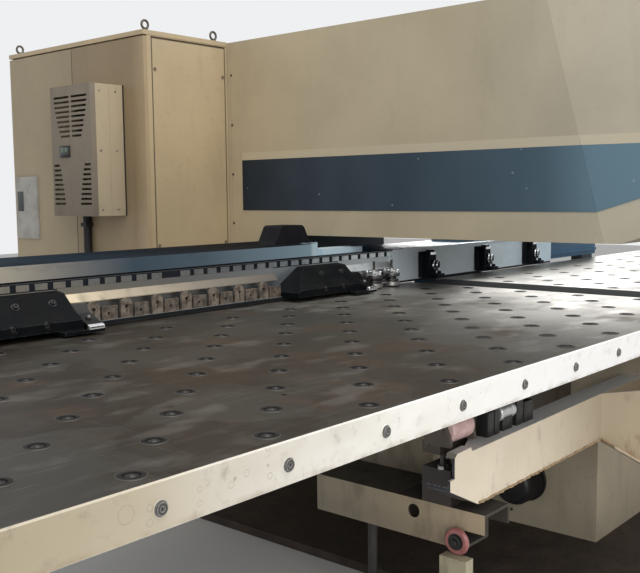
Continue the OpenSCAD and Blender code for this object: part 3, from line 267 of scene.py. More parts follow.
# Painted sheet metal; the stops grade the tone along one direction, in metres
cabinetLook = {
    "along": "z", "stops": [(1.05, (0.43, 0.33, 0.195)), (1.7, (0.47, 0.36, 0.215)), (2.25, (0.49, 0.385, 0.24))],
    "shade": 0.86, "gloss": 0.46, "peel": 0.00014, "grime": 0.28, "dust": 0.45, "chips": 0.3,
    "under": (0.19, 0.17, 0.15)}
frameLook = {
    "along": "z", "stops": [(0, (0.45, 0.385, 0.28)), (0.6, (0.56, 0.48, 0.35)), (0.9, (0.56, 0.485, 0.36))],
    "shade": 0.78, "gloss": 0.5, "peel": 0.00016, "grime": 0.55, "dust": 0.5, "chips": 0.5,
    "under": (0.16, 0.13, 0.11)}
darkLook = {"along": "z", "shade": 0.7, "gloss": 0.5, "peel": 0.00012}
sheetLooks = {
    "housingPaint": {
        "nodes": ("arm_cover_left", "arm_cover_right", "top_cover", "rear_cover", "nose_cover", "console",
                  "console_boom"), "along": "y",
        "stops": [(0.15, (0.405, 0.365, 0.28)), (0.9, (0.44, 0.375, 0.258)), (2.4, (0.475, 0.385, 0.25))],
        "shade": 0.86, "gloss": 0.42, "peel": 0.0001, "grime": 0.2, "dust": 0.35, "chips": 0.25,
        "under": (0.2, 0.18, 0.16)},
    "cabinetPaint": {**cabinetLook, "nodes": ["cabinet_body"]},
    "sidePanelPaint": {
        **cabinetLook, "nodes": ["cabinet_side_panel"], "locks": 2.2606,
        "seams": [("x", -0.998, 0.004), ("x", -0.508, 0.003), ("z", 1.051, 0.002), ("z", 2.22, 0.002)]},
    # Painted shade: from y 2.36 on, this door is darker than the far door, shaded by the cooler casing mounted on it
    "nearDoorPaint": {
        **cabinetLook, "nodes": ["near_door"], "along": "y", "seams": [("y", 2.8605, 0.002)],
        "stops": [(2.26, (0.4, 0.3, 0.178)), (2.36, (0.27, 0.198, 0.113)), (2.86, (0.27, 0.208, 0.126))],
        "shade": 0.88, "grime": 0.34},
    "farDoorPaint": {
        **cabinetLook, "nodes": ["far_door"], "along": "y",
        "stops": [(2.86, (0.31, 0.25, 0.158)), (3.46, (0.37, 0.298, 0.19))], "shade": 0.88, "grime": 0.3},
    "coolerPaint": {
        **cabinetLook, "nodes": ["cooler_casing"], "stops": [(1.35, (0.37, 0.3, 0.2)), (2, (0.46, 0.38, 0.255))],
        "shade": 0.88, "peel": 0.00012, "grime": 0.36, "chips": 0.2},
    "framePaint": {**frameLook, "nodes": ["head_body"]},
    "bodyPaint": {**frameLook, "nodes": ["c_frame"], "throat": (0.9, 1.005, 1.42)},
    "coolerGrey": {
        "nodes": ["cooler_front"], "along": "z",
        "stops": [(1.35, (0.15, 0.125, 0.095)), (1.6, (0.19, 0.158, 0.118)), (2, (0.235, 0.195, 0.148))],
        "shade": 0.8, "gloss": 0.55, "peel": 0.0001, "grime": 0.45, "dust": 0.3, "chips": 0.15,
        "under": (0.1, 0.09, 0.08)},
    "standPaint": {
        **darkLook, "nodes": ["cabinet_stand"], "stops": [(0, (0.05, 0.05, 0.055)), (1.1, (0.07, 0.07, 0.075))],
        "grime": 0.3, "dust": 0.6, "chips": 0.4, "under": (0.2, 0.18, 0.16)},
    "tableFramePaint": {
        **darkLook, "nodes": ["left_frame", "right_frame"], "along": "y",
        "stops": [(-0.2, (0.022, 0.026, 0.034)), (1.4, (0.04, 0.045, 0.055))],
        "grime": 0.4, "dust": 0.3, "chips": 0.5, "under": (0.16, 0.15, 0.14)},
    "bracketPaint": {
        "nodes": ["roller_brackets"], "along": "z",
        "stops": [(0.53, (0.055, 0.038, 0.03)), (0.64, (0.045, 0.04, 0.04)), (0.72, (0.09, 0.07, 0.052)),
                  (0.83, (0.13, 0.105, 0.08))],
        "shade": 0.6, "gloss": 0.45, "peel": 0.0002, "grime": 0.6, "dust": 0.5, "chips": 0.7,
        "under": (0.3, 0.29, 0.28)},
    "zincCoat": {
        "nodes": ["switchgear"], "along": "z", "stops": [(0, (0.4, 0.4, 0.385)), (2.3, (0.5, 0.5, 0.48))],
        "shade": 0.76, "gloss": 0.4, "peel": 0.00008, "grime": 0.25, "dust": 0.3, "chips": 0.1,
        "under": (0.25, 0.25, 0.25)},
    "eyeSteel": {
        "nodes": ["lifting_eyes"], "along": "z",
        "stops": [(2.25, (0.075, 0.062, 0.048)), (2.35, (0.125, 0.105, 0.08))],
        "shade": 0.7, "gloss": 0.38, "peel": 0.0001, "grime": 0.3, "dust": 0.2, "chips": 0.4,
        "under": (0.3, 0.28, 0.25)},
}
sheetTones = {"dust": (0.3, 0.27, 0.23), "seam": (0.03, 0.024, 0.018), "lock": (0.045, 0.04, 0.034),
              "throat": (0.012, 0.018, 0.028), "grimeDepth": 0.28, "seamBlur": 0.003}


def sheetPaint(name, look, tones):
    paint = Paint(name)
    axes = {"x": paint.x, "y": paint.y, "z": paint.z}
    clean = paint.graded(axes[look["along"]], look["stops"])
    paint.colour = paint.mix(paint.cloud(0.3, 0.7, 0.55), clean, (look["shade"],) * 3, "MULTIPLY")
    runs = paint.cloud(0.52, 0.82, 0.11, 4, (1, 1, 0.16), (7, 3, 1))
    smears = paint.cloud(0.56, 0.78, 0.035, 6, shift=(2, 9, 4))
    dirt = (runs * 0.6 + smears * 0.5) * look["grime"]
    paint.coat(dirt, tuple(tones["grimeDepth"] * v for v in look["stops"][0][1]))
    dust = paint.facingUp(0.55, 0.95) * paint.cloud(0.25, 0.75, 0.08, shift=(5, 5, 5)) * look["dust"]
    paint.coat(dust, tones["dust"])
    paint.chipped(look["under"], look["chips"], 0.006)
    for axis, at, half in look.get("seams", ()):
        seam = 1 - paint.rise(abs(axes[axis] - at), half, half + tones["seamBlur"])
        paint.coat(0.85 * seam, tones["seam"])
    if "locks" in look:
        # the four screw heads stand proud of the panel
        paint.coat(0.8 * (paint.y < look["locks"]), tones["lock"])
    if "throat" in look:
        # shaded walls behind the rail
        y, low, high = look["throat"]
        paint.coat(0.94 * ((paint.y > y) * (paint.z > low) * (paint.z < high)), tones["throat"])
    peel = paint.bump(paint.noise(0.0035, 2), look["peel"])
    dents = paint.bump(paint.noise(0.5, 1), 0.0012, peel)
    return paint.done(look["gloss"] + 0.1 * paint.noise(0.02) + 0.18 * dirt + 0.25 * dust, dents)


paintAll(sheetPaint, sheetLooks, sheetTones)
print("painted sheet done")


# Support arms: cream sheet, bright at the outer end and darkened towards the frame by painted shade under the table,
# brown along the lower weld, painted shade inside the channel
armLook = {
    "stops": [(0.45, (0.34, 0.265, 0.178)), (0.85, (0.42, 0.335, 0.225)), (1.15, (0.64, 0.54, 0.39)),
              (1.5, (0.86, 0.75, 0.58)), (1.86, (0.88, 0.77, 0.6))],
    "mottle": ((0.38, 0.31, 0.21), 0.22, 0.35, 0.72, 0.28), "top": (0.66, 0.645, 0.62),
    "insideShade": (0.028, 0.03, 0.036), "rust": (0.22, 0.11, 0.045),
    "smear": ((0.13, 0.1, 0.07), 0.3, 0.57, 0.8, 0.05, 6, (1, 1, 0.4), (4, 2, 7)),
    "chips": ((0.9, 0.86, 0.78), 0.5, 0.008), "grain": (0.00014, 0.0035, 2),
    "innerY": (-0.0098, 0.071), "innerX": 0.88, "weldZ": (0.573, 0.595),
}


def armPaint(look):
    paint = Paint("armPaint")
    # the stops paint the shade under the table, darkest at the frame end
    paint.colour = paint.graded(abs(paint.x), look["stops"])
    paint.stain(*look["mottle"])
    top = paint.facingUp(0.6, 0.95)
    paint.coat(top, look["top"])
    # painted shade on the inner faces of the channel beyond the corner
    front, back = look["innerY"]
    inner = (paint.y > front) * (paint.y < back) * (1 - top) * (abs(paint.x) > look["innerX"])
    paint.coat(inner, look["insideShade"])
    rust = (1 - paint.rise(paint.z, *look["weldZ"])) * paint.cloud(0.5, 0.72, 0.03, 6, (1, 1, 0.5))
    paint.coat(rust * 0.55, look["rust"])
    smear = paint.stain(*look["smear"])
    paint.chipped(*look["chips"])
    rough = 0.44 + 0.12 * paint.noise(0.02) + 0.15 * smear + 0.2 * inner
    return paint.done(rough, paint.grain(*look["grain"]))


dress(armPaint(armLook), "support_arm_left", "support_arm_right")


# Base wings and outriggers: dirty paint, oil on the low tops, black hubs; painted shade in the hollows, on the end
# faces at the front and on the front faces above the tops
wingLook = {
    "stops": [(-0.03, (0.44, 0.345, 0.225)), (0.2, (0.35, 0.28, 0.185)), (0.45, (0.3, 0.255, 0.18)),
              (0.9, (0.34, 0.3, 0.225)), (1.8, (0.48, 0.42, 0.315))],
    "low": (0.1, 0.08, 0.06), "grime": ((0.085, 0.068, 0.05), 0.45, 0.46, 0.72, 0.06, 6, (1, 1, 0.4)),
    "oilAndShade": (0.022, 0.02, 0.019), "hub": (0.02, 0.019, 0.02), "chips": ((0.3, 0.26, 0.2), 0.5, 0.007),
    "grain": (0.0002, 0.004, 3), "lowZ": (0.42, 0.52), "topZ": 0.6,
    "outerX": 1.6985, "hollowY": 0.285, "cutY": -0.0255, "frontY": 0.2915, "frontX": 1.46,
    "pin": (0.06, 0.441), "pinR": 0.019, "pinX": 1.7005,
}


def wingPaint(look):
    paint = Paint("wingPaint")
    paint.colour = paint.graded(paint.y, look["stops"])
    paint.coat((1 - paint.rise(paint.z, *look["lowZ"])) * 0.35, look["low"])
    grime = paint.stain(*look["grime"])
    # painted shade in the hollow of each outrigger and on the end faces at the front, joined in the mask below with
    # the oil on the low tops
    hollow = (abs(paint.x) < look["outerX"]) * (paint.y < look["hollowY"])
    oilAndShade = (paint.facingUp(0.5, 0.9) * (paint.z < look["topZ"])).most(hollow).most(paint.y < look["cutY"])
    paint.coat(oilAndShade * 0.92, look["oilAndShade"])
    # painted shade on the front faces above the tops
    front = (paint.y < look["frontY"]) * (abs(paint.x) < look["frontX"]) * (paint.z > look["topZ"])
    paint.coat(front * 0.7, look["oilAndShade"])
    fromPin = paint.away(paint.y - look["pin"][0], paint.z - look["pin"][1])
    paint.coat((fromPin < look["pinR"]) * (abs(paint.x) > look["pinX"]), look["hub"])
    paint.chipped(*look["chips"])
    rough = 0.5 + 0.15 * paint.noise(0.02) - 0.12 * oilAndShade + 0.12 * grime + 0.35 * hollow
    return paint.done(rough, paint.grain(*look["grain"]))


dress(wingPaint(wingLook), "base_wing_left", "base_wing_right")

# Levelling feet: cream boxes under the wheels, dark rods and pads
feetLook = {
    "cream": (0.4, 0.355, 0.235), "dark": (0.014, 0.014, 0.015), "boxX": 1.66, "boxY": 0.16, "padZ": 0.03,
    "grime": ((0.07, 0.058, 0.045), 0.5, 0.42, 0.72, 0.04, 6, (1, 1, 0.4)), "worn": ((0.22, 0.2, 0.17), 0.5, 0.002),
    "grain": (0.00015, 0.004, 3),
}


def feetPaint(look):
    paint = Paint("feetPaint")
    box = (abs(paint.x) > look["boxX"]) * (paint.y < look["boxY"]) * (paint.z > look["padZ"])
    paint.colour = paint.mix(box, look["dark"], look["cream"])
    grime = paint.stain(*look["grime"])
    paint.worn(*look["worn"])
    return paint.done(0.42 + 0.2 * grime, paint.grain(*look["grain"]))


dress(feetPaint(feetLook), "levelling_feet")
print("arms and wings done")


# Stripe of the housing, with the pale band above it
stripeLook = {
    "stops": [(0, (0.105, 0.18, 0.225)), (0.22, (0.1, 0.17, 0.215)), (0.42, (0.05, 0.088, 0.12)),
              (1.1, (0.024, 0.042, 0.06)), (2.3, (0.006, 0.011, 0.019))],
    "pale": [(0.2, (0.46, 0.41, 0.31)), (2.3, (0.5, 0.42, 0.28))],
    "wear": ((0.1, 0.13, 0.16), 0.12, 0.35, 0.75, 0.25, 4, (1, 1, 0.5)), "speck": (0.3, 0.33, 0.36),
    "seamHeight": 1.632, "grain": (0.00006, 0.004, 2),
}


def stripePaint(look):
    paint = Paint("stripePaint", Coat_Weight=0.08, Coat_Roughness=0.15, Specular_IOR_Level=0.25)
    paint.colour = paint.graded(paint.y, look["stops"])
    paint.stain(*look["wear"])
    specks = paint.rise(1 - paint.cells(0.09), 0.93, 0.97)
    paint.coat(specks * 0.6, look["speck"])
    paint.coat(paint.z > look["seamHeight"], paint.graded(paint.y, look["pale"]))
    rough = 0.34 + 0.12 * paint.noise(0.04) + 0.1 * specks
    return paint.done(rough, paint.grain(*look["grain"]))


dress(stripePaint(stripeLook), "band_panels")


# Steel of the machined parts
steelLooks = {
    "groundSteel": {"nodes": ("ram", "punch", "stripper", "die", "ram_cylinder", "y_guides"),
                    "light": (0.6, 0.6, 0.6), "dark": (0.36, 0.35, 0.34), "gloss": 0.26, "grain": (1, 0.06, 0.06),
                    "oil": 0.25, "bright": 0.6},
    "carrierSteel": {"nodes": ["die_carrier"], "light": (0.22, 0.215, 0.21), "dark": (0.08, 0.078, 0.075),
                     "gloss": 0.32, "grain": (1, 0.1, 0.1), "oil": 0.6, "bright": 0.6},
    "jawSteel": {"nodes": ("clamp_jaw_left", "clamp_jaw_right"), "light": (0.04, 0.039, 0.038),
                 "dark": (0.015, 0.0145, 0.014), "gloss": 0.36, "grain": (1, 0.1, 0.1), "oil": 0.6, "bright": 0.25,
                 "tipY": 1.1785},
}
steelTones = {"oil": (0.045, 0.04, 0.035), "bright": (0.72, 0.72, 0.72)}


def steelPaint(name, look, tones):
    paint = Paint(name, Metallic=0.95)
    paint.colour = paint.mix(paint.cloud(0.3, 0.7, 0.12, 6), look["light"], look["dark"])
    oil = paint.cloud(0.5, 0.75, 0.05, shift=(3, 1, 8)) * look["oil"]
    paint.coat(oil, tones["oil"])
    bright = paint.edge(0.0015) * look["bright"]
    paint.coat(bright.most(paint.y < look["tipY"]) if "tipY" in look else bright, tones["bright"])
    grain = paint.noise(0.0016, 3, look["grain"])
    return paint.done(look["gloss"] + 0.16 * grain + 0.12 * oil, paint.bump(grain, 0.00006))


paintAll(steelPaint, steelLooks, steelTones)

# Tools in their forks: bright discs over a dark neck, seen by height
toolLook = {
    "stops": [(1.007, (0.44, 0.43, 0.41)), (1.027, (0.38, 0.37, 0.35)), (1.03, (0.05, 0.048, 0.045)),
              (1.0515, (0.04, 0.038, 0.036)), (1.053, (0.1, 0.098, 0.095)), (1.066, (0.14, 0.138, 0.135)),
              (1.07, (0.7, 0.71, 0.72)), (1.088, (0.55, 0.55, 0.55)), (1.094, (0.07, 0.068, 0.065)),
              (1.135, (0.05, 0.048, 0.046))],
    "fork": (0.6, 0.61, 0.62), "forkY": 1.3335, "bright": ((0.85, 0.86, 0.87), 0.7, 0.0015),
    "stain": ((0.1, 0.095, 0.09), 0.5, 0.5, 0.75, 0.02, 6),
}


def toolPaint(look):
    paint = Paint("toolSteel", Metallic=0.9)
    paint.colour = paint.graded(paint.z, look["stops"])
    paint.coat(paint.y > look["forkY"], look["fork"])
    stain = paint.stain(*look["stain"])
    paint.worn(*look["bright"])
    turning = paint.noise(0.0012, 4, (0.05, 0.05, 1))
    return paint.done(0.22 + 0.14 * turning + 0.2 * stain, paint.bump(turning, 0.00004))


dress(toolPaint(toolLook), "tools")

# Fixed strip between the tables, dark and matte
stripLook = {"tone": (0.062, 0.068, 0.072), "shade": (0.095, 0.1, 0.102), "gloss": 0.85,
             "lines": ((0.25, 0.25, 0.245), 0.4, 0.62, 0.72, 0.003, 2, (1, 0.015, 1))}


def stripPaint(look):
    paint = Paint("stripSteel", Specular_IOR_Level=0.03, Specular_Tint=(0.4, 0.4, 0.4))
    cloud = paint.cloud(0.3, 0.7, 0.12, 6)
    paint.colour = paint.mix(cloud, look["tone"], look["shade"])
    lines = paint.stain(*look["lines"])
    return paint.done(look["gloss"] + 0.1 * cloud, paint.bump(lines, 0.00006))


dress(stripPaint(stripLook), "centre_plate")
print("machined steel done")


# Worn table tops: brown at the outer left; towards the head, rubbed wear and a painted sheen make them bright
tableLook = {
    "stops": [(-3.35, (0.016, 0.012, 0.009)), (-2.2, (0.044, 0.035, 0.026)), (-1.35, (0.085, 0.08, 0.07)),
              (-0.85, (0.33, 0.32, 0.285)), (-0.35, (0.66, 0.64, 0.59)), (0.3, (0.29, 0.29, 0.27)),
              (3.35, (0.18, 0.175, 0.165))],
    "brown": (0.072, 0.045, 0.028), "green": (0.078, 0.077, 0.068), "pale": (0.62, 0.6, 0.55),
    "scratch": (0.45, 0.43, 0.4), "gloss": 0.3, "cleanX": (-0.9, -0.3), "wornAndSheenX": (-1.9, -0.2),
    "beyondX": (0.4, 1.6),
}


def tablePaint(look):
    paint = Paint("tableSteel", Specular_Tint=(0.55, 0.54, 0.52))
    # the stops paint a bright reflection on the tops, brightest at x -0.35 towards the head
    paint.colour = paint.graded(paint.x, look["stops"])
    clouds = paint.noise(0.36, 6, rough=0.62)
    plates = paint.cells(0.42, (1, 1.5, 1), "CHEBYCHEV", "Color")
    plates = paint.node("ShaderNodeSeparateColor", links={0: plates})
    paint.coat(paint.rise(clouds * 0.8 + plates * 0.2, 0.44, 0.6) * 0.45, look["green"])
    stain = paint.cloud(0.52, 0.7, 0.27, 6, rough=0.6, shift=(9, 2, 6))
    paint.coat(stain * (0.7 - 0.5 * paint.rise(paint.x, *look["cleanX"])), look["brown"])
    # rubbed wear and painted sheen both rise towards the head
    near = paint.rise(paint.x, *look["wornAndSheenX"])
    worn = paint.cloud(0.53, 0.7, 0.12, 6, (0.5, 1, 1), shift=(1, 6, 2))
    paint.coat(worn * (0.1 + 0.5 * near - 0.4 * paint.rise(paint.x, *look["beyondX"])), look["pale"])
    drag = paint.noise(0.014, 4, (0.04, 1, 1))
    paint.coat(paint.rise(drag, 0.55, 0.75) * (0.04 + 0.1 * near), look["pale"])
    lines = paint.cloud(0.7, 0.75, 0.003, 2, (0.012, 1, 1))
    scratch = lines.most(paint.cloud(0.71, 0.76, 0.003, 2, (1, 0.012, 1), shift=(6, 1, 2)))
    paint.coat(scratch * 0.25, look["scratch"])
    rough = look["gloss"] + 0.2 * clouds + 0.1 * stain - 0.08 * worn * near
    return paint.done(rough, paint.bump(drag + 0.4 * scratch, 0.0001), 0.55 + 0.25 * near)


dress(tablePaint(tableLook), "left_table", "right_table")


# Ball units: grey ball, dark cup and flange, a painted highlight as a pale ring at the outer edge
ballLook = {"firstRow": -0.144, "rowPitch": 0.1374, "firstColumn": 0.192, "pitch": 0.314, "cupFrom": 0.01118,
            "cupRadius": 0.0175, "rimHighlightFrom": (0.024, 0.0258), "ball": (0.048, 0.046, 0.044),
            "flange": (0.03, 0.028, 0.026), "dull": (0.016, 0.015, 0.014), "cup": (0.008, 0.008, 0.008),
            "rim": (0.15, 0.14, 0.125)}


def ballPaint(look):
    paint = Paint("ballSteel", Metallic=0.7, Specular_Tint=(0.5, 0.5, 0.5))
    row = ((paint.y - look["firstRow"]) / look["rowPitch"]).round()
    alongY = paint.y - look["firstRow"] - row * look["rowPitch"]
    half = look["pitch"] / 2
    alongX = (abs(paint.x) - look["firstColumn"] - (row % 2) * half + half) % look["pitch"] - half
    away = paint.away(alongX, alongY)
    cup = paint.within(away, look["cupFrom"], look["cupRadius"], 0.0006)
    flange = paint.rise(away, look["cupRadius"] - 0.0004, look["cupRadius"] + 0.0004)
    flangeTone = paint.mix(paint.cloud(0.35, 0.7, 0.03), look["flange"], look["dull"])
    paint.colour = paint.mix(flange, look["ball"], flangeTone)
    paint.coat(cup, look["cup"])
    # painted highlight: a pale ring at the outer edge of each flange
    paint.coat(paint.rise(away, *look["rimHighlightFrom"]) * 0.5, look["rim"])
    return paint.done(0.42 + 0.1 * flange + 0.2 * cup)


dress(ballPaint(ballLook), "ball_units")


# Folded aprons: zinc coat, beige and smudged at the outer left, nearly white to the right
apronLook = {
    "stops": [(-3.35, (0.4, 0.335, 0.225)), (-3.05, (0.52, 0.45, 0.33)), (-2.85, (0.68, 0.63, 0.54)),
              (-2.35, (0.95, 0.93, 0.87)), (-1.6, (0.98, 0.97, 0.95)), (3.35, (0.97, 0.965, 0.94))],
    "mottle": (0.42, 0.35, 0.24), "smudge": (0.2, 0.17, 0.13), "screw": (0.06, 0.055, 0.05),
    "low": (0.3, 0.22, 0.13), "worn": ((0.92, 0.91, 0.88), 0.7, 0.002), "grain": (0.00008, 0.004, 3, (0.2, 1, 1)),
    "leftX": (-2.7, -1.9), "screwFace": -0.2015, "lowZ": (0.917, 0.931),
    "marks": [(-3.073, 0.963, 0.016), (-3.027, 0.961, 0.007), (-3.028, 0.937, 0.007), (-2.996, 0.957, 0.006),
              (-2.922, 0.965, 0.006), (-2.923, 0.941, 0.006), (-2.851, 0.954, 0.007), (-2.813, 0.965, 0.007)],
}


def apronPaint(look):
    paint = Paint("apronZinc", Metallic=0.12)
    paint.colour = paint.graded(paint.x, look["stops"])
    left = 1 - paint.rise(paint.x, *look["leftX"])
    paint.coat(paint.cloud(0.35, 0.7, 0.22, 5, (1, 1, 2)) * (0.05 + 0.2 * left), look["mottle"])
    smudge = paint.cloud(0.54, 0.74, 0.05, 7, rough=0.65)
    drops = (1 - paint.rise(paint.cells(0.03), 0.1, 0.16)) * paint.cloud(0.52, 0.62, 0.13, shift=(2, 4, 4))
    rings = paint.within(paint.cells(0.045, jitter=0.9), 0.1, 0.16, 0.02) * paint.cloud(0.5, 0.62, 0.16)
    paint.coat(smudge * (0.22 + 0.2 * left) + rings * 0.35 + drops * 0.45, look["smudge"])
    for x, z, radius in look["marks"]:
        fromMark = paint.away(paint.x - x, paint.z - z)
        paint.coat(0.35 * paint.within(fromMark, radius - 0.002, radius, 0.0006), look["smudge"])
    paint.coat(paint.y < look["screwFace"], look["screw"])
    lowEdge = (1 - paint.rise(paint.z, *look["lowZ"])) * paint.cloud(0.35, 0.7, 0.05, shift=(8, 1, 1))
    paint.coat(lowEdge * 0.5, look["low"])
    paint.worn(*look["worn"])
    return paint.done(0.34 + 0.2 * smudge + 0.12 * paint.noise(0.01), paint.grain(*look["grain"]))


dress(apronPaint(apronLook), "left_apron", "right_apron")
print("tables done")


# Rail: painted shade in the band behind the bright position blocks, under the foot and on the roof; a painted
# blue-white reflection on the bare face to the right
railLook = {
    "stops": [(-2.65, (0.34, 0.305, 0.25)), (-1.9, (0.24, 0.225, 0.2)), (-1.3, (0.2, 0.215, 0.22)),
              (-0.75, (0.5, 0.55, 0.58)), (-0.4, (0.93, 0.97, 0.99)), (-0.22, (0.76, 0.85, 0.91)),
              (0.25, (0.86, 0.96, 1)), (1.45, (0.72, 0.88, 1))],
    "mottle": (0.16, 0.19, 0.22), "dusty": (0.1, 0.092, 0.08), "band": (0.01, 0.012, 0.016),
    "worn": (0.8, 0.8, 0.78), "grain": (0.00005, 0.0015, 4, (0.04, 1, 1)),
    "bareX": (-0.55, -0.15), "blockFace": 1.3485, "bandBack": 1.351, "bandZ": (1.1385, 1.1685), "bandEnd": -0.262,
    "footHeight": 1.0195, "topHeight": 1.169,
}


def railPaint(look):
    paint = Paint("railSteel", Specular_IOR_Level=0.15)
    # the stops paint a blue-white reflection on the bare face to the right
    paint.colour = paint.graded(paint.x, look["stops"])
    bare = paint.rise(paint.x, *look["bareX"])
    paint.coat(paint.cloud(0.35, 0.7, 0.16, 5, (0.5, 1, 1)) * (0.45 - 0.33 * bare), look["mottle"])
    dusty = paint.cloud(0.5, 0.72, 0.03, 6, shift=(1, 8, 3))
    paint.coat(dusty * (0.4 - 0.34 * bare), look["dusty"])
    # painted shade in the band behind the position blocks
    band = paint.within(paint.z, *look["bandZ"]) * (paint.y > look["blockFace"]) * (paint.y < look["bandBack"])
    band = band * (paint.x < look["bandEnd"])
    paint.coat(band, look["band"])
    # painted shade under the foot and on the roof under the covers
    foot = (paint.y < look["blockFace"]) * (paint.z < look["footHeight"])
    roof = (paint.z > look["topHeight"]) * (paint.x < look["bandEnd"])
    paint.coat(foot.most(roof), look["band"])
    dark = band.most(foot).most(roof)
    paint.coat(paint.edge(0.0012) * (1 - dark) * 0.6, look["worn"])
    rough = 0.28 + 0.2 * paint.noise(0.01, 4, (0.05, 1, 1)) + 0.3 * dark + 0.15 * dusty
    return paint.done(rough, paint.grain(*look["grain"]), (0.75 - 0.65 * bare) * (1 - dark))


dress(railPaint(railLook), "rail_beam")

magazineLook = {
    "stops": [(-2.65, (0.5, 0.41, 0.27)), (-2.2, (0.78, 0.66, 0.45)), (-1.98, (0.43, 0.355, 0.25)),
              (-1.55, (0.205, 0.175, 0.135)), (-1.15, (0.11, 0.1, 0.085)), (-0.72, (0.085, 0.08, 0.072)),
              (-0.68, (0.78, 0.82, 0.83)), (-0.26, (0.88, 0.91, 0.91))],
    "strip": [(-2.65, (0.2, 0.175, 0.13)), (-1.6, (0.115, 0.115, 0.11)), (-1, (0.17, 0.185, 0.19)),
              (-0.26, (0.6, 0.64, 0.66))],
    "grime": ((0.13, 0.12, 0.1), 0.45, 0.5, 0.75, 0.05, 6, (1, 1, 0.3)), "grain": (0.0001, 0.003, 2),
    "foldHeight": 1.119, "bareX": (-0.7, -0.68),
}


def magazinePaint(look):
    paint = Paint("magazineCream")
    paint.colour = paint.graded(paint.x, look["stops"])
    grime = paint.stain(*look["grime"])
    paint.coat(paint.z > look["foldHeight"], paint.graded(paint.x, look["strip"]))
    bare = paint.rise(paint.x, *look["bareX"])
    return paint.done(0.4 + 0.25 * grime - 0.1 * bare, paint.grain(*look["grain"]), 0.5 * bare)


dress(magazinePaint(magazineLook), "magazine_cover")

cassetteLook = {
    "first": -2.055, "pitch": 0.14, "ringHalf": 0.026, "stopFrom": 0.1215, "backY": 1.3225,
    "ring": (0.26, 0.215, 0.17), "ringDark": (0.1, 0.078, 0.06), "block": (0.2, 0.162, 0.125),
    "blockDark": (0.08, 0.066, 0.055), "behind": (0.035, 0.03, 0.026), "stop": (0.022, 0.02, 0.019),
    "speck": ((0.035, 0.028, 0.022), 0.4, 0.58, 0.7, 0.006, 4, (1, 1, 1), (2, 2, 2)),
    "worn": ((0.58, 0.54, 0.47), 0.6, 0.0012), "grain": (0.0001, 0.004),
}


def cassettePaint(look):
    paint = Paint("cassetteSteel", Metallic=0.35)
    along = (paint.x - look["first"] + look["ringHalf"]) % look["pitch"]
    ring = along < 2 * look["ringHalf"]
    cloud = paint.cloud(0.35, 0.65, 0.022, 6)
    paint.colour = paint.mix(cloud, look["block"], look["blockDark"])
    paint.coat(ring, paint.mix(cloud, look["ring"], look["ringDark"]))
    paint.coat((paint.y > look["backY"]) * (1 - ring), look["behind"])
    paint.coat(along > look["stopFrom"], look["stop"])
    paint.stain(*look["speck"])
    paint.worn(*look["worn"])
    return paint.done(0.38 + 0.2 * paint.noise(0.01), paint.grain(*look["grain"]))


dress(cassettePaint(cassetteLook), "cassettes")


# Black parts of the rail: clamps, holders with bright rings, hump
blackLooks = {
    "clampBlack": {"nodes": ["clamp_bodies"], "tone": (0.003, 0.004, 0.005), "dust": (0.018, 0.016, 0.014),
                   "gloss": 0.55, "wear": 0.35, "worn": (0.38, 0.37, 0.36)},
    "holderBlack": {"nodes": ["tool_holders"], "tone": (0.01, 0.012, 0.016), "dust": (0.045, 0.05, 0.055),
                    "gloss": 0.42, "wear": 0.5, "rings": (0.86, 0.88, 0.9), "plateY": 1.2878, "ringZ": 1.0515},
    "humpBlack": {"nodes": ["drive_cover"], "tone": (0.01, 0.01, 0.012), "dust": (0.026, 0.025, 0.024),
                  "gloss": 0.55, "wear": 0.1, "worn": (0.38, 0.37, 0.36)},
}


def blackPaint(name, look):
    paint = Paint(name, Specular_IOR_Level=0.06)
    cloud = paint.cloud(0.42, 0.75, 0.07, 6)
    paint.colour = paint.mix(cloud * 0.3, look["tone"], look["dust"])
    top = paint.facingUp(0.3, 0.95) * paint.cloud(0.35, 0.7, 0.05, shift=(3, 3, 3))
    paint.coat(top * 0.35, look["dust"])
    worn = paint.edge(0.002) * paint.cloud(0.35, 0.65, 0.02) * look["wear"]
    rough = look["gloss"] + 0.2 * cloud
    if "rings" in look:
        # the two rings stand proud of the holder's front plate
        rings = (paint.y < look["plateY"]) * (paint.z > look["ringZ"])
        paint.coat(rings, look["rings"])
        worn = worn.most(rings)
        rough = rough - (look["gloss"] - 0.05) * rings
    else:
        paint.coat(worn, look["worn"])
        rough = rough + 0.15 * top
    return paint.done(rough, paint.grain(0.00015, 0.003, 3), worn)


paintAll(blackPaint, blackLooks)


# Covers over the rail: nearly black roof; front band from warm grey with a painted highlight at the left end, through
# blue to pale teal
coverLook = {
    "front": [(-2.66, (0.52, 0.47, 0.38)), (-2.35, (0.42, 0.385, 0.315)), (-2.1, (0.2, 0.2, 0.195)),
              (-1.85, (0.06, 0.088, 0.115)), (-1.5, (0.09, 0.125, 0.155)), (-1.1, (0.17, 0.235, 0.285)),
              (-0.873, (0.22, 0.31, 0.36)), (-0.871, (0.42, 0.54, 0.6)), (2.2, (0.34, 0.41, 0.44))],
    "roof": [(-2.66, (0.004, 0.008, 0.013)), (-2, (0.005, 0.014, 0.024)), (-1.3, (0.005, 0.006, 0.008)),
             (2.2, (0.007, 0.007, 0.008))],
    "scuff": ((0.05, 0.055, 0.06), 0.35, 0.55, 0.78, 0.035, 6, (0.3, 1, 1)), "roofDust": (0.018, 0.018, 0.017),
    "worn": ((0.3, 0.31, 0.31), 0.4, 0.0015), "grain": (0.00008, 0.004, 4, (0.3, 1, 1)),
}


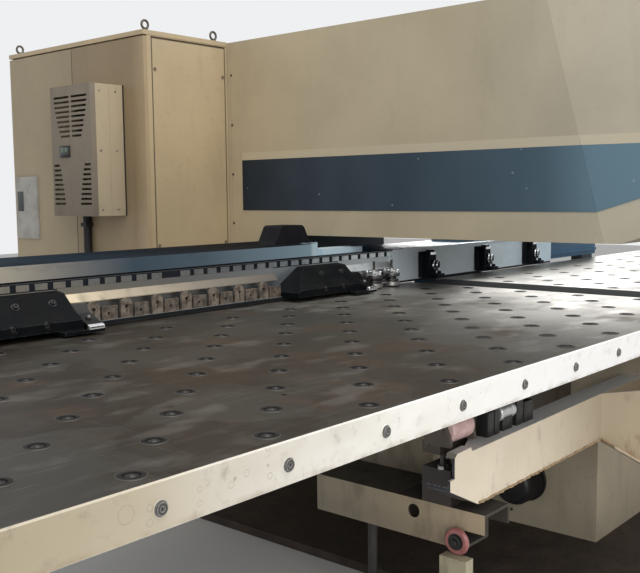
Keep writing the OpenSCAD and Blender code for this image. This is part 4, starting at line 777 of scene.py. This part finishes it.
def coverPaint(look):
    paint = Paint("coverGrey", Specular_IOR_Level=0.03)
    # the first stops paint a highlight on the warm grey at the left end
    paint.colour = paint.graded(paint.x, look["front"])
    paint.stain(*look["scuff"])
    roofDust = paint.cloud(0.4, 0.75, 0.2, 6) * 0.3
    roof = paint.mix(roofDust, paint.graded(paint.x, look["roof"]), look["roofDust"])
    isRoof = paint.facingUp(0.5, 0.9)
    paint.coat(isRoof, roof)
    paint.worn(*look["worn"])
    rough = 0.42 + 0.15 * paint.cloud(0.3, 0.7, 0.3, 4, (0.5, 1, 1)) + 0.2 * isRoof
    return paint.done(rough, paint.grain(*look["grain"]), 0.25 - 0.25 * isRoof)


dress(coverPaint(coverLook), "beam_covers")

beamLook = {"blue": (0.014, 0.095, 0.2), "blueWorn": (0.024, 0.13, 0.245),
            "grime": ((0.02, 0.022, 0.03), 0.5, 0.52, 0.8, 0.07, 6), "grain": (0.0001, 0.004, 2),
            "guide": (0.4, 0.41, 0.42), "tray": (0.5, 0.62, 0.66), "guideFace": 1.3993, "guideEnd": 1.46,
            "trayHeight": 1.1655}


def beamPaint(look):
    paint = Paint("beamBlue")
    paint.colour = paint.mix(paint.cloud(0.3, 0.7, 0.35), look["blue"], look["blueWorn"])
    grime = paint.stain(*look["grime"])
    guide = (paint.y < look["guideFace"]) * (paint.x < look["guideEnd"])
    paint.coat(guide, look["guide"])
    paint.coat(paint.z > look["trayHeight"], look["tray"])
    return paint.done(0.4 + 0.1 * grime, paint.grain(*look["grain"]), guide * 0.9)


dress(beamPaint(beamLook), "cross_beam")
print("rail and beam done")


# Rollers and wheels: pink rim, dark at the axle
rollerLooks = {
    "rollerPink": {"nodes": ("roller_left", "roller_right"), "rim": (0.66, 0.41, 0.385),
                   "rimPale": (0.84, 0.64, 0.61), "dark": (0.2, 0.075, 0.075),
                   "hub": (0.03, 0.026, 0.026), "axis": (0.062, 0.7857), "hubR": 0.017},
    "wheelPink": {"nodes": ("wheel_left", "wheel_right"), "rim": (0.34, 0.115, 0.11), "rimPale": (0.46, 0.2, 0.19),
                  "dark": (0.12, 0.04, 0.04), "hub": (0.024, 0.022, 0.022), "axis": (0.06, 0.441), "hubR": 0.024},
}


def rollerPaint(name, look):
    paint = Paint(name)
    paint.colour = paint.mix(paint.cloud(0.35, 0.7, 0.03, 5) * 0.6, look["rim"], look["rimPale"])
    grime = paint.stain(look["dark"], 0.5, 0.52, 0.75, 0.012, 6, (1, 1, 1), (3, 6, 9))
    fromAxle = paint.away(paint.y - look["axis"][0], paint.z - look["axis"][1])
    hub = 1 - paint.rise(fromAxle, look["hubR"], look["hubR"] + 0.002)
    paint.coat(hub, look["hub"])
    return paint.done(0.36 + 0.2 * grime + 0.1 * hub, paint.grain(0.0001, 0.003, 3))


paintAll(rollerPaint, rollerLooks)

# Plastics and the floor plate
plainLooks = {
    "blackPlastic": {"nodes": ("cooler_conduit", "cooler_fan"), "tone": (0.016, 0.016, 0.018),
                     "shade": (0.028, 0.027, 0.026), "gloss": 0.45, "dirt": 0.3},
    "greyPlastic": {"nodes": ["document_pocket"], "tone": (0.4, 0.385, 0.355), "shade": (0.3, 0.285, 0.26),
                    "gloss": 0.42, "dirt": 0.5},
    "redPlastic": {"nodes": ["stop_button"], "tone": (0.45, 0.022, 0.015), "shade": (0.34, 0.015, 0.01),
                   "gloss": 0.22, "dirt": 0.15},
    "keyPlastic": {"tone": (0.055, 0.056, 0.06), "shade": (0.08, 0.08, 0.082), "gloss": 0.38, "dirt": 0.25},
    "rubber": {"tone": (0.012, 0.012, 0.012), "shade": (0.022, 0.021, 0.02), "gloss": 0.6, "dirt": 0.3},
    "floorPlate": {"nodes": ["base_plate"], "tone": (0.036, 0.029, 0.025), "shade": (0.07, 0.052, 0.04),
                   "gloss": 0.6, "dirt": 0.8},
}


def plainPaint(name, look):
    paint = Paint(name, Specular_IOR_Level=0.2)
    cloud = paint.cloud(0.3, 0.7, 0.09, 6)
    paint.colour = paint.mix(cloud, look["tone"], look["shade"])
    dirt = paint.cloud(0.5, 0.8, 0.02, 6, shift=(3, 6, 9)) * look["dirt"]
    paint.coat(dirt * 0.5, tuple(0.35 * v for v in look["tone"]))
    return paint.done(look["gloss"] + 0.12 * cloud + 0.2 * dirt, paint.grain(0.00012, 0.003, 3))


paintAll(plainPaint, plainLooks)
print("rollers, plastics and floor plate done")


# Finishes of the small metal and glass pieces
fittingLooks = {
    "chrome": {"tone": (0.86, 0.87, 0.88), "dark": (0.3, 0.3, 0.31), "rough": 0.1, "metal": 1, "stain": 0.3},
    "screwSteel": {"tone": (0.42, 0.4, 0.37), "dark": (0.08, 0.07, 0.06), "rough": 0.32, "metal": 0.9, "stain": 0.6},
    "dullSteel": {"tone": (0.11, 0.105, 0.1), "dark": (0.025, 0.023, 0.021), "rough": 0.34, "metal": 0.9,
                  "stain": 0.7},
    "blackSteel": {"tone": (0.035, 0.034, 0.034), "dark": (0.012, 0.012, 0.012), "rough": 0.42, "metal": 0.5,
                   "stain": 0.5},
    "weldPaint": {"tone": (0.42, 0.29, 0.16), "dark": (0.1, 0.05, 0.025), "rough": 0.55, "metal": 0, "stain": 0.9},
    "silverCast": {"tone": (0.62, 0.63, 0.63), "dark": (0.26, 0.26, 0.26), "rough": 0.36, "metal": 0.6, "stain": 0.4},
    "darkGlass": {"tone": (0.01, 0.013, 0.014), "dark": (0.016, 0.02, 0.02), "rough": 0.08, "metal": 0, "stain": 0.2},
    "displayGreen": {"tone": (0.085, 0.125, 0.085), "dark": (0.06, 0.095, 0.065), "rough": 0.16, "metal": 0,
                     "stain": 0.2},
}


def fittingPaint(name, look):
    paint = Paint(name)
    stain = paint.cloud(0.45, 0.75, 0.012, 5) * look["stain"]
    paint.colour = paint.mix(stain, look["tone"], look["dark"])
    return paint.done(look["rough"] + 0.25 * stain, paint.grain(0.00004, 0.0015, 2, (1, 1, 0.2)), look["metal"])


paintAll(fittingPaint, fittingLooks)


# Mesh tools for the small pieces

class Shape:
    # closed forms gathered into one mesh
    def __init__(self):
        self.form = bmesh.new()

    def turned(self, profile, place, axis=(0, 0, 1), steps=24, turn=0):
        # (radius, height) pairs turned about an axis through place; 6 steps give a hexagon
        lean = Vector((0, 0, 1)).rotation_difference(Vector(axis)).to_matrix().to_4x4()
        whole = Matrix.Translation(place) @ lean @ Matrix.Rotation(turn, 4, "Z")
        rings = []
        for radius, height in profile:
            angles = [2 * math.pi * k / steps for k in range(steps if radius > 0 else 1)]
            rings.append([self.form.verts.new(whole @ Vector((radius * math.cos(v), radius * math.sin(v), height)))
                          for v in angles])
        self.join(rings, profile[0] != profile[-1])
        return self

    def join(self, rings, capped=True):
        # faces between neighbouring rings and over the two ends; a ring may be a single point
        steps = max(len(ring) for ring in rings)
        faces = []
        for low, high in zip(rings, rings[1:]):
            for k in range(steps):
                after = (k + 1) % steps
                corners = [low[k % len(low)], low[after % len(low)], high[after % len(high)], high[k % len(high)]]
                corners = list(dict.fromkeys(corners))
                if len(corners) > 2:
                    faces.append(self.form.faces.new(corners))
        for ring in (rings[0], rings[-1]):
            if len(ring) > 2 and capped:
                faces.append(self.form.faces.new(ring))
        return faces

    def slab(self, outline, place, across, up, thick, soft):
        # flat outline along across and up, made thick towards across x up
        across, up, place = Vector(across), Vector(up), Vector(place)
        out = across.cross(up).normalized() * thick
        low = [self.form.verts.new(place + across * u + up * v) for u, v in outline]
        high = [self.form.verts.new(corner.co + out) for corner in low]
        edges = list({edge for face in self.join([low, high]) for edge in face.edges})
        bmesh.ops.bevel(self.form, geom=edges, offset=soft, segments=2, profile=0.5, affect="EDGES",
                        clamp_overlap=True)
        return self

    def bar(self, low, high, soft):
        x, y, z = (b - a for a, b in zip(low, high))
        return self.slab(rectangle(0, x, 0, y), low, (1, 0, 0), (0, 1, 0), z, soft)

    def tube(self, points, radii, steps):
        # a round rod through the points, with its own radius at each
        side = None
        rings = []
        for k, (point, radius) in enumerate(zip(points, radii)):
            ahead = (points[min(k + 1, len(points) - 1)] - points[max(k - 1, 0)]).normalized()
            side = ahead.orthogonal() if side is None else side - ahead * side.dot(ahead)
            side.normalize()
            other = ahead.cross(side)
            rings.append([self.form.verts.new(point + (side * math.cos(v) + other * math.sin(v)) * radius)
                          for v in (2 * math.pi * j / steps for j in range(steps))])
        self.join(rings)

    def piece(self, name, finish, body, slot):
        bmesh.ops.recalc_face_normals(self.form, faces=self.form.faces)
        mesh = bpy.data.meshes.new(name)
        self.form.to_mesh(mesh)
        self.form.free()
        mesh.polygons.foreach_set("use_smooth", [True] * len(mesh.polygons))
        mesh.set_sharp_from_angle(angle=math.radians(35))
        mesh.materials.append(finishes[finish])
        made = placed(name, mesh)
        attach(made, body)


def screwProfile(radius, height):
    # cap screw with a round socket
    return [(0, 0), (radius, 0), (radius, 0.85 * height), (0.88 * radius, height), (0.5 * radius, height),
            (0.5 * radius, 0.4 * height), (0, 0.4 * height)]


def discProfile(radius, low, high, edge):
    return [(0, low), (radius, low), (radius, high - edge), (radius - edge, high), (0, high)]


def rectangle(left, right, low, high):
    return [(left, low), (right, low), (right, high), (left, high)]


# Clamps: cap screws on the bodies, dome nuts and bright tips on the jaws
clampLook = {
    "ends": {"jaw_left": -2.175, "jaw_right": -0.69}, "screwR": 0.0095,
    "frontScrews": (-0.25, -0.13), "front": (1.2142, 1.044), "frontHeight": 0.012,
    "topScrews": (-0.2, -0.065), "top": (1.274, 1.1032), "topHeight": 0.01, "slope": (0, -0.667, 0.745),
    "washer": [(0, -0.002), (0.0135, -0.002), (0.0135, 0.0012), (0.01, 0.0016)],
    "nut": [(0.013, -0.003), (0.013, 0.002), (0.0105, 0.002), (0.0105, 0.006), (0.008, 0.0095), (0.004, 0.0112),
            (0, 0.0116)],
    "nutPlace": (0.031, 1.215, 1.0506), "jawSlope": (0, -0.417, 0.909),
    "tip": [(0, 0), (0.0045, 0), (0.006, 0.0015), (0.006, 0.0525), (0.0045, 0.054), (0, 0.054)],
    "tipPlace": (0.0035, 1.17, 1.0272),
}


def makeClampFittings(look):
    front, top = Shape(), Shape()
    topProfile = look["washer"] + screwProfile(look["screwR"], look["topHeight"])[2:]
    for body, end in look["ends"].items():
        for x in look["frontScrews"]:
            front.turned(screwProfile(look["screwR"], look["frontHeight"]), (end + x, *look["front"]), (0, -1, 0))
        for x in look["topScrews"]:
            top.turned(topProfile, (end + x, *look["top"]), look["slope"])
        x, *across = look["nutPlace"]
        Shape().turned(look["nut"], (end + x, *across), look["jawSlope"]).piece(
            body + "_nut", "dullSteel", body, "machined_steel")
        x, *across = look["tipPlace"]
        Shape().turned(look["tip"], (end + x, *across), (1, 0, 0), 20).piece(
            body + "_tip", "chrome", body, "machined_steel")
    front.piece("clamp_front_screws", "blackSteel", "rail", "black_metal")
    top.piece("clamp_top_screws", "blackSteel", "rail", "black_metal")


makeClampFittings(clampLook)


# Tools: open spring clips over the upper discs, with their screws
clipLook = {"toolsX": (-0.493, -0.353), "toolY": 1.288, "low": 1.0795, "thick": 0.004, "outer": 0.038,
            "inner": 0.028, "open": 55, "across": (0.342, -0.94, 0), "up": (0.94, 0.342, 0),
            "screwAngles": (30, 110, 190), "screwRing": 0.033, "screw": (0.0042, 0.005), "screwLow": 1.083}


def makeToolClips(look):
    clips = Shape()
    spread = [math.radians(look["open"] / 2 + (360 - look["open"]) * k / 32) for k in range(33)]
    outline = [(look["outer"] * math.cos(v), look["outer"] * math.sin(v)) for v in spread]
    outline += [(look["inner"] * math.cos(v), look["inner"] * math.sin(v)) for v in reversed(spread)]
    for x in look["toolsX"]:
        clips.slab(outline, (x, look["toolY"], look["low"]), look["across"], look["up"], look["thick"], 0.0006)
        for angle in look["screwAngles"]:
            out = Vector((math.cos(math.radians(angle)), math.sin(math.radians(angle)), 0)) * look["screwRing"]
            clips.turned(screwProfile(*look["screw"]), Vector((x, look["toolY"], look["screwLow"])) + out, steps=16)
    clips.piece("tool_clips", "chrome", "rail", "tool_steel")


makeToolClips(clipLook)


# Black rubber strips under the rail: a wiper at the back, and in front under the ledge a strip that stands in for the
# shadow there
wiperAndShadeLook = {"soft": 0.0008, "strips": [((-2.65, 1.3535, 1.0012), (1.45, 1.3575, 1.0125)),
                                        ((-2.6, 1.3, 1.002), (-0.56, 1.304, 1.0125))]}


def makeWiperAndShadeStrips(look):
    strips = Shape()
    for low, high in look["strips"]:
        strips.bar(low, high, look["soft"])
    strips.piece("rail_wiper_and_shade_strips", "rubber", "rail", "black_plastic")


makeWiperAndShadeStrips(wiperAndShadeLook)
print("clamp, tool and rail fittings made")


# Wheel caps, stud nuts and weld beads of the supports, on both sides
supportLook = {
    "pin": (1.7235, 0.06, 0.441),
    "cap": [(0, 0), (0.0205, 0), (0.0205, 0.0022), (0.0185, 0.003), (0.012, 0.003), (0.012, 0.0035), (0, 0.0035)],
    "capHex": [(0, 0.003), (0.0115, 0.003), (0.0115, 0.0095), (0.0095, 0.0108), (0, 0.0108)],
    "studs": (1.69, 1.62), "studY": 0.122, "nuts": (0.6402, 0.69),
    "nut": [(0.0088, 0), (0.0165, 0), (0.0175, 0.001), (0.0175, 0.011), (0.0165, 0.012), (0.0088, 0.012),
            (0.0088, 0)],
    "armFace": -0.0104, "armLow": 0.57, "armRise": 0.0075, "cornerX": 0.88, "armStart": 1.708, "armStop": 0.884,
    "heading": 35, "obliqueStart": (-0.01, 0.581), "obliqueRun": (0.006, 0.47), "drop": 0.6,
}


def makeSupportFittings(look):
    caps, nuts, welds = Shape(), Shape(), Shape()
    turn = math.radians(look["heading"])
    ahead, aside = math.cos(turn), math.sin(turn)
    for side in (-1, 1):
        pinX, *pinYZ = look["pin"]
        caps.turned(look["cap"], (side * pinX, *pinYZ), (side, 0, 0))
        caps.turned(look["capHex"], (side * pinX, *pinYZ), (side, 0, 0), 6, 0.3)
        for x in look["studs"]:
            for z in look["nuts"]:
                nuts.turned(look["nut"], (side * x, look["studY"], z), steps=6, turn=0.4 * x)
        # each bead wobbles a little, first along the arm, then down its oblique end
        points, radii = [], []
        for k in range(111):
            slope = k / 110
            x = look["armStart"] - (look["armStart"] - look["armStop"]) * slope
            wobble = 0.001 * math.sin(k * 1.7) + 0.0008 * math.sin(k * 0.61 + 1)
            points.append(Vector((side * x, look["armFace"] + 0.3 * wobble,
                                  look["armLow"] + look["armRise"] * slope + wobble)))
            radii.append(0.0036 + 0.0009 * math.sin(k * 2.9) + 0.0006 * math.sin(k * 0.83))
        welds.tube(points, radii, 8)
        points, radii = [], []
        for k in range(61):
            run = look["obliqueRun"][0] + look["obliqueRun"][1] * k / 60
            x = look["cornerX"] - run * ahead + 0.003 * aside
            y, z = look["obliqueStart"]
            points.append(Vector((side * x, y - run * aside - 0.003 * ahead,
                                  z - look["drop"] * run + 0.001 * math.sin(k * 1.9))))
            radii.append(0.004 + 0.001 * math.sin(k * 2.7))
        welds.tube(points, radii, 8)
    caps.piece("wheel_caps", "blackSteel", "machine_frame", "dark_bracket")
    nuts.piece("stud_nuts", "screwSteel", "machine_frame", "dark_bracket")
    welds.piece("arm_welds", "weldPaint", "machine_frame", "frame_paint")


makeSupportFittings(supportLook)


# Dark motor on the left side of the frame, seen under the arm
motorLook = {"place": (-0.4855, 0.485, 0.24), "radius": 0.08, "fin": 0.006, "fins": 9, "firstFin": 0.016,
             "pitch": 0.011, "box": ((-0.585, 0.45, 0.312), (-0.525, 0.52, 0.345)), "boltRing": 0.0885,
             "bolt": (0.006, 0.011, 0.017, 0.001)}


def makeMotor(look):
    r, fin, at = look["radius"], look["fin"], look["firstFin"]
    profile = [(0, 0), (r + 0.014, 0), (r + 0.015, 0.001), (r + 0.015, 0.011), (r + 0.014, 0.012), (r, 0.012)]
    for k in range(look["fins"]):
        profile += [(r, at), (r + fin, at + 0.001), (r + fin, at + 0.004), (r, at + 0.005)]
        at += look["pitch"]
    profile += [(r, at), (r - 0.002, at + 0.012), (r - 0.012, at + 0.022), (0.022, at + 0.026), (0.02, at + 0.03),
                (0, at + 0.03)]
    motor = Shape().turned(profile, look["place"], (-1, 0, 0), 48).bar(*look["box"], 0.003)
    for angle in (45, 135, 225, 315):
        v = math.radians(angle)
        out = Vector((0, math.cos(v), math.sin(v))) * look["boltRing"]
        motor.turned(discProfile(*look["bolt"]), Vector(look["place"]) + out, (-1, 0, 0), 6)
    motor.piece("frame_motor", "blackSteel", "machine_frame", "dark_bracket")


makeMotor(motorLook)


# Anchor bolts of the floor plate
anchorLook = {
    "xs": (-1.15, 1.15), "ys": (-0.05, 3.45), "z": 0.0345, "washer": (0.023, 0, 0.0035, 0.001),
    "nut": [(0, 0.003), (0.0155, 0.003), (0.0165, 0.004), (0.0165, 0.0145), (0.015, 0.016), (0, 0.016)],
    "stud": (0.008, 0.015, 0.0285, 0.0015),
}


def makeAnchors(look):
    bolts = Shape()
    for x in look["xs"]:
        for y in look["ys"]:
            place = (x, y, look["z"])
            bolts.turned(discProfile(*look["washer"]), place).turned(look["nut"], place, steps=6, turn=x + y)
            bolts.turned(discProfile(*look["stud"]), place, steps=16)
    bolts.piece("anchor_bolts", "screwSteel", "machine_frame", "zinc")


makeAnchors(anchorLook)


# Small cylinder with its black valve blocks, standing on the flange of each arm
valveLook = {
    "x": 1.488, "y": 0.04, "z": 0.788, "radius": 0.025, "length": 0.088, "groove": 0.003,
    "port": [(0, 0), (0.007, 0), (0.007, 0.012), (0, 0.012)], "portX": -0.056,
    # low and high corners, x and y from the middle of the cylinder
    "blocks": [((-0.03, -0.018, 0.7335), (0.03, 0.018, 0.773), 0.002)]
              + [((x0, -0.02, 0.7325), (x1, 0.022, top), 0.003) for x0, x1, top in
                 ((-0.08, -0.05, 0.824), (-0.12, -0.084, 0.806), (0.052, 0.095, 0.826), (0.1, 0.16, 0.8))],
}


def makeArmValves(look):
    silver, black = Shape(), Shape()
    r, length, groove = look["radius"], look["length"], look["groove"]
    barrel = [(0, 0), (r - groove, 0), (r, groove), (r, 0.016), (r - groove, 0.018), (r - groove, length - 0.018),
              (r, length - 0.016), (r, length - groove), (r - groove, length), (0, length)]
    for middle in (-look["x"], look["x"]):
        silver.turned(barrel, (middle - length / 2, look["y"], look["z"]), (1, 0, 0), 32)
        base = Vector((middle, look["y"], 0))
        for low, high, soft in look["blocks"]:
            black.bar(base + Vector(low), base + Vector(high), soft)
        black.turned(look["port"], (middle + look["portX"], look["y"], look["z"]), (1, 0, 0), 16)
    silver.piece("arm_cylinders", "silverCast", "machine_frame", "zinc")
    black.piece("arm_valve_blocks", "blackSteel", "machine_frame", "dark_bracket")


makeArmValves(valveLook)
print("support fittings made")


# Cooler: rubber seal against the door, display with keys, casing screws
coolerLook = {
    "low": (-1.056, 2.4258, 1.3518), "high": (-1.0483, 2.7662, 1.9992), "band": 0.0035, "sealSoft": 0.0008,
    "panelX": -1.2535, "panel": (2.605, 1.646, 2.692, 1.703),
    "key": [(0, 0), (0.0042, 0), (0.0042, 0.001), (0.003, 0.0018), (0, 0.002)], "keyYs": (2.621, 2.639, 2.657, 2.675),
    "keyZ": 1.659, "screw": (0.0055, 0.003), "screwXs": (-1.195, -1.1), "screwYs": ((2.4272, -1), (2.7648, 1)),
    "screwZs": (1.385, 1.675, 1.965),
}


def makeCoolerPieces(look):
    (x0, y0, z0), (x1, y1, z1) = look["low"], look["high"]
    band = look["band"]
    seal = Shape()
    for low, high in (((y0, z0), (y0 + band, z1)), ((y1 - band, z0), (y1, z1)),
                      ((y0 + band, z1 - band), (y1 - band, z1)), ((y0 + band, z0), (y1 - band, z0 + band))):
        seal.bar((x0, *low), (x1, *high), look["sealSoft"])
    seal.piece("cooler_seal", "rubber", "near_door", "black_plastic")

    y0, z0, y1, z1 = look["panel"]
    x = look["panelX"]
    Shape().bar((x, y0, z0), (x + 0.004, y1, z1), 0.001).piece(
        "cooler_panel", "blackPlastic", "near_door", "black_plastic")
    Shape().bar((x - 0.0008, y0 + 0.004, z0 + 0.004), (x + 0.0004, y1 - 0.004, z1 - 0.004), 0.0003).piece(
        "cooler_glass", "darkGlass", "near_door", "black_plastic")
    lit, keys, screws = Shape(), Shape(), Shape()
    for y in (y0 + 0.016, y0 + 0.047):
        lit.bar((x - 0.0014, y, z0 + 0.024), (x - 0.0006, y + 0.023, z1 - 0.01), 0.0003)
    lit.piece("cooler_display", "displayGreen", "near_door", "grey_plastic")
    for y in look["keyYs"]:
        keys.turned(look["key"], (x - 0.0006, y, look["keyZ"]), (-1, 0, 0), 16)
    keys.piece("cooler_keys", "keyPlastic", "near_door", "grey_plastic")
    for x in look["screwXs"]:
        for z in look["screwZs"]:
            for y, way in look["screwYs"]:
                screws.turned(screwProfile(*look["screw"]), (x, y, z), (0, way, 0), 16)
    screws.piece("cooler_screws", "screwSteel", "near_door", "zinc")


makeCoolerPieces(coolerLook)


# Blank card in the document pocket
cardLook = {"size": (0.062, 0.112), "place": (-1.0566, 3.425, 1.37), "thick": 0.0009, "soft": 0.0003}


def makeCard(look):
    wide, high = look["size"]
    card = Shape().slab(
        rectangle(0, wide, 0, high), look["place"], (0, -1, 0), (0, 0, 1), look["thick"], look["soft"])
    card.piece("pocket_card", "keyPlastic", "far_door", "grey_plastic")


makeCard(cardLook)


# Console: screen in its bezel, rows of blank keys, a knob
consoleLook = {
    "screenPlace": (0.91, -0.4861, 1.5504), "up": (0, 0.0698, 0.9976), "bezel": (-0.166, 0.166, -0.078, 0.114),
    "screen": (-0.148, 0.148, -0.06, 0.098), "keyRows": (1.345, 1.376, 1.407), "keyColumns": (0, 1, 2, 3, 4, 5, 7, 8),
    "firstKey": 0.7385, "keyPitch": 0.0285, "keySize": 0.021, "frontY": -0.5045, "frontZ": 1.32, "slope": 0.0615,
    "knob": [(0, 0), (0.017, 0), (0.018, 0.002), (0.016, 0.004), (0.013, 0.005), (0.012, 0.018), (0.0105, 0.0195),
             (0, 0.0195)],
    "knobPlace": (1.022, -0.4995, 1.416), "knobAxis": (0, -0.998, 0.0614),
}


def makeConsolePieces(look):
    across, up = Vector((1, 0, 0)), Vector(look["up"])
    Shape().slab(rectangle(*look["bezel"]), look["screenPlace"], across, up, 0.006, 0.0015).piece(
        "console_bezel", "blackPlastic", "console", "black_plastic")
    proud = Vector(look["screenPlace"]) + across.cross(up) * 0.0052
    Shape().slab(rectangle(*look["screen"]), proud, across, up, 0.0016, 0.0004).piece(
        "console_screen", "darkGlass", "console", "black_plastic")
    keys = Shape()
    up = Vector((0, look["slope"], 1)).normalized()
    size = look["keySize"]
    for z in look["keyRows"]:
        y = look["frontY"] + (z - look["frontZ"]) * look["slope"]
        for k in look["keyColumns"]:
            keys.slab(rectangle(-size / 2, size / 2, 0, size), (look["firstKey"] + look["keyPitch"] * k, y, z),
                      across, up, 0.0042, 0.0012)
    keys.piece("console_keys", "keyPlastic", "console", "grey_plastic")
    Shape().turned(look["knob"], look["knobPlace"], look["knobAxis"], 32).piece(
        "console_knob", "blackPlastic", "console", "black_plastic")


makeConsolePieces(consoleLook)


# Housing: flush screws along the seams of the covers
housingLook = {"faceX": 0.4898, "screw": (0.0062, 0.0026),
               "rows": [((2.232,), (1.3, 1.56, 1.82, 2.08)), ((2.05, 3.4), (0.14, 0.42, 0.7, 0.98)),
                        ((0.55, 0.95, 1.35, 1.75), (0.09,))]}


def makeHousingScrews(look):
    screws = Shape()
    for side in (-1, 1):
        for ys, zs in look["rows"]:
            for y in ys:
                for z in zs:
                    screws.turned(screwProfile(*look["screw"]), (side * look["faceX"], y, z), (side, 0, 0), 16)
    screws.piece("housing_screws", "dullSteel", "machine_frame", "zinc")


makeHousingScrews(housingLook)
print("cooler, console and housing fittings made")


# Floor and light
studioLook = {
    "floorTone": (0.74, 0.73, 0.71), "floorSize": 40, "floorZ": -0.001,
    "worldTone": (0.86, 0.87, 0.88), "worldPower": 0.55,
    "lamps": [
        {"name": "overhead", "place": (-1.5, -1, 6.5), "aim": (0, 0.8, 1), "size": (6, 5), "power": 330},
        {"name": "window", "place": (7.5, 5, 3.6), "aim": (0, 0.6, 1), "size": (4, 3.4), "power": 420},
        {"name": "front", "place": (-6.5, -5.5, 3.6), "aim": (-0.6, 0.8, 1.1), "size": (5, 3.5), "power": 210},
    ],
}


def makeStudio(look):
    half = look["floorSize"] / 2
    mesh = bpy.data.meshes.new("studioFloor")
    mesh.from_pydata([(x, y, 0) for x, y in rectangle(-half, half, -half, half)], [], [(0, 1, 2, 3)])
    floor = placed("studioFloor", mesh)
    floor.location.z = look["floorZ"]
    paint = Paint("floorPaint")
    mottle = paint.cloud(0.3, 0.7, 0.8, detail=5)
    paint.colour = paint.mix(mottle, look["floorTone"], tuple(0.96 * v for v in look["floorTone"]))
    mesh.materials.append(paint.done(0.7 + 0.1 * mottle))

    world = bpy.data.worlds.new("studioWorld")
    bpy.context.scene.world = world
    world.use_nodes = True
    sky = NodeTree(world.node_tree)
    seen = sky.node("ShaderNodeLightPath", out="Is Camera Ray")
    seen = seen.most(seen.at("Is Transmission Ray")).most(seen.at("Is Glossy Ray"))
    strength = sky.node("ShaderNodeMapRange", links={"Value": seen, "To Min": look["worldPower"], "To Max": 1})
    background = sky.tree.nodes["Background"]
    sky.feed(background.inputs["Color"], look["worldTone"])
    sky.feed(background.inputs["Strength"], strength)

    for lamp in look["lamps"]:
        data = bpy.data.lights.new(lamp["name"], "AREA")
        data.shape = "RECTANGLE"
        data.size, data.size_y = lamp["size"]
        data.energy = lamp["power"]
        light = placed(lamp["name"], data)
        light.location = lamp["place"]
        toward = Vector(lamp["aim"]) - Vector(lamp["place"])
        light.rotation_euler = toward.to_track_quat("-Z", "Y").to_euler()


makeStudio(studioLook)
bpy.context.scene.view_settings.view_transform = "Standard"
print("studio done")
